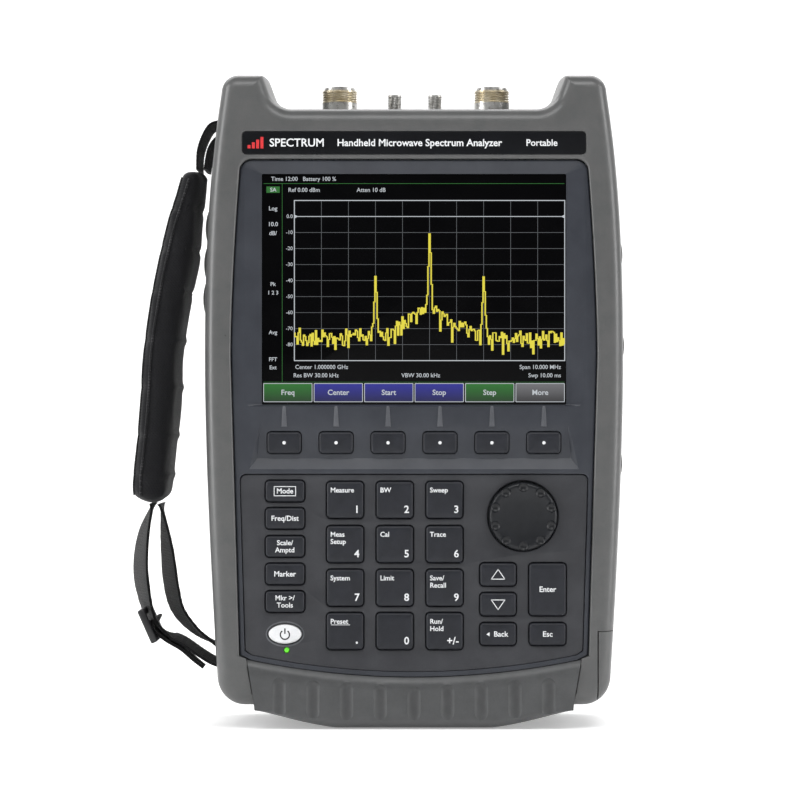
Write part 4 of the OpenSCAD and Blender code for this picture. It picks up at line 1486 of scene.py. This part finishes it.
def tube(name, points, radius, material, steps=10):
    """A round cord through points in space."""
    pts = [Vector(p) for p in points]
    rings = []
    for i, p in enumerate(pts):
        d = (pts[min(len(pts) - 1, i + 1)] - pts[max(0, i - 1)]).normalized()
        side = d.cross(Vector((0.13, 1, 0.21))).normalized()
        other = d.cross(side)
        rings.append([p + (side * math.cos(a) + other * math.sin(a)) * radius for a in turns(steps)])
    return make(name, *loft(rings), material, 80)


def surface_points(pad, share, sign):
    """Points on the pad's outside along its route, at a share of its thickness."""
    route = smooth_route(PAD_ROUTE, 8)
    points = []
    for i in range(4, len(route) - 4):
        z = route[i].y
        n = across(route, i)
        at = route[i] - n * share
        start = Vector((at.x, sign * 60, at.y)) * MM
        hit, place, normal, _ = pad.ray_cast(start, Vector((0, -sign, 0)))
        if hit:
            points.append((place + normal * 0.35 * MM) / MM)
    return points


def strap_pad():
    """The padded grip: swollen, quilted, and piped along its sides."""
    pad = voxels(pad_shape("pad_cushion", 0.82, 24.5))
    inflate_pad(pad)
    smoother = pad.modifiers.new("smooth", "SUBSURF")
    smoother.levels = 2
    smoother.render_levels = 2
    settle(pad)
    quilt(pad)
    hold_off_case(pad)
    pad.data.shade_smooth()
    attach(pad, "case", ["hand_strap_pad"])
    seams = []
    for sign in (-1, 1):
        for share, radius in ((3.6, 0.5), (6.9, 0.4)):
            seams.append(tube("seam", surface_points(pad, share, sign), radius, "piping"))
    attach(join("pad_piping", seams, 80), "case")
    return pad


# ---- carried-over nodes

def paint_nodes():
    """Materials of the CAD nodes that are shown as they are."""
    looks = {"connector_plate": "steel", "side_connectors": "socket", "keypad_membrane": "membrane",
             "keypad_board": "board", "rotary_encoder": "nickel", "main_board": "board",
             "rf_module": "nickel", "battery_pack": "battery", "lcd_module": "socket", "strap_bars": "steel"}
    for node, look in looks.items():
        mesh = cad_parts[node].data
        mesh.materials.clear()
        mesh.materials.append(MATERIALS[look])


# ---- stage, light and camera

def stage():
    """A pale floor that curves up behind the object."""
    profile = [(-3000, 0)] + arc(1200, 800, 800, -90, 0, 10) + [(2000, 4000)]
    verts = [(x, y, z) for y, z in profile for x in (-4000, 4000)]
    faces = [[2 * k, 2 * k + 1, 2 * k + 3, 2 * k + 2] for k in range(len(profile) - 1)]
    floor = make("stage_floor", verts, faces)
    s = Shader("stage_floor_look")
    s.tones(s.noise(900, 2.0), 0.4, (248, 248, 248), 0.6, (252, 252, 252))
    s.set(Roughness=0.9, Emission_Color=rgb(252, 252, 252), Emission_Strength=0.3)
    floor.data.materials.append(s.material)


def area_light(name, place, target, size, power, colour=(1, 1, 1)):
    lamp = bpy.data.lights.new(name, "AREA")
    lamp.shape = "RECTANGLE"
    lamp.size, lamp.size_y = size
    lamp.energy = power
    lamp.color = colour
    obj = bpy.data.objects.new(name, lamp)
    obj.location = place
    obj.rotation_euler = (Vector(target) - Vector(place)).to_track_quat("-Z", "Y").to_euler()
    scene.collection.objects.link(obj)


def lights():
    middle = (0, 0, 0.15)
    area_light("light_left", (-1.15, -0.3, 0.45), middle, (0.35, 1.1), 10)
    area_light("light_right", (1.15, -0.3, 0.4), middle, (0.35, 1.1), 8)
    area_light("light_top", (0, -0.85, 1.25), middle, (1.4, 0.5), 11)
    area_light("light_back", (0, 0.9, 1.3), (0, 0.5, 0), (2.4, 0.8), 16)
    world = bpy.data.worlds.new("world")
    world.use_nodes = True
    world.node_tree.nodes["Background"].inputs["Color"].default_value = (1, 1, 1, 1)
    world.node_tree.nodes["Background"].inputs["Strength"].default_value = 0.3
    scene.world = world


def camera():
    lens = bpy.data.cameras.new("camera")
    lens.lens = 122.1
    lens.sensor_width = 36
    lens.shift_x = -0.0175
    lens.shift_y = 0.0015
    obj = bpy.data.objects.new("camera", lens)
    obj.location = (0, -1.236, 0.1455)
    obj.rotation_euler = (math.radians(90), 0, 0)
    scene.collection.objects.link(obj)
    scene.camera = obj
    scene.view_settings.view_transform = "Standard"


# ---- assembly

front_shell()
rear_shell()
for door_name, door_size in DOORS.items():
    port_door(door_name, door_size)
battery_door()
boot()
bezel()
softkey_ribs()
keypad_panel()
name_plate()
window()
all_keys()
knob()
status_led()
trace()
grid_lines()
screen_text()
screen_status()
screen_labels()
rf_ports()
sma_ports()
webbing("webbing_upper", UPPER_ROUTE, "strap_webbing_upper")
webbing("webbing_lower", LOWER_ROUTE, "strap_webbing_lower", lower_twist)
webbing("webbing_tail", TAIL_ROUTE, None, lambda share: -5 * share)
buckle()
strap_pad()
refined("tilt_stand", "stand_bail", "stand", 0.8, "stand")
refined("case_screws", "screw_heads", "steel", 0.25)
paint_nodes()
stage()
lights()
camera()
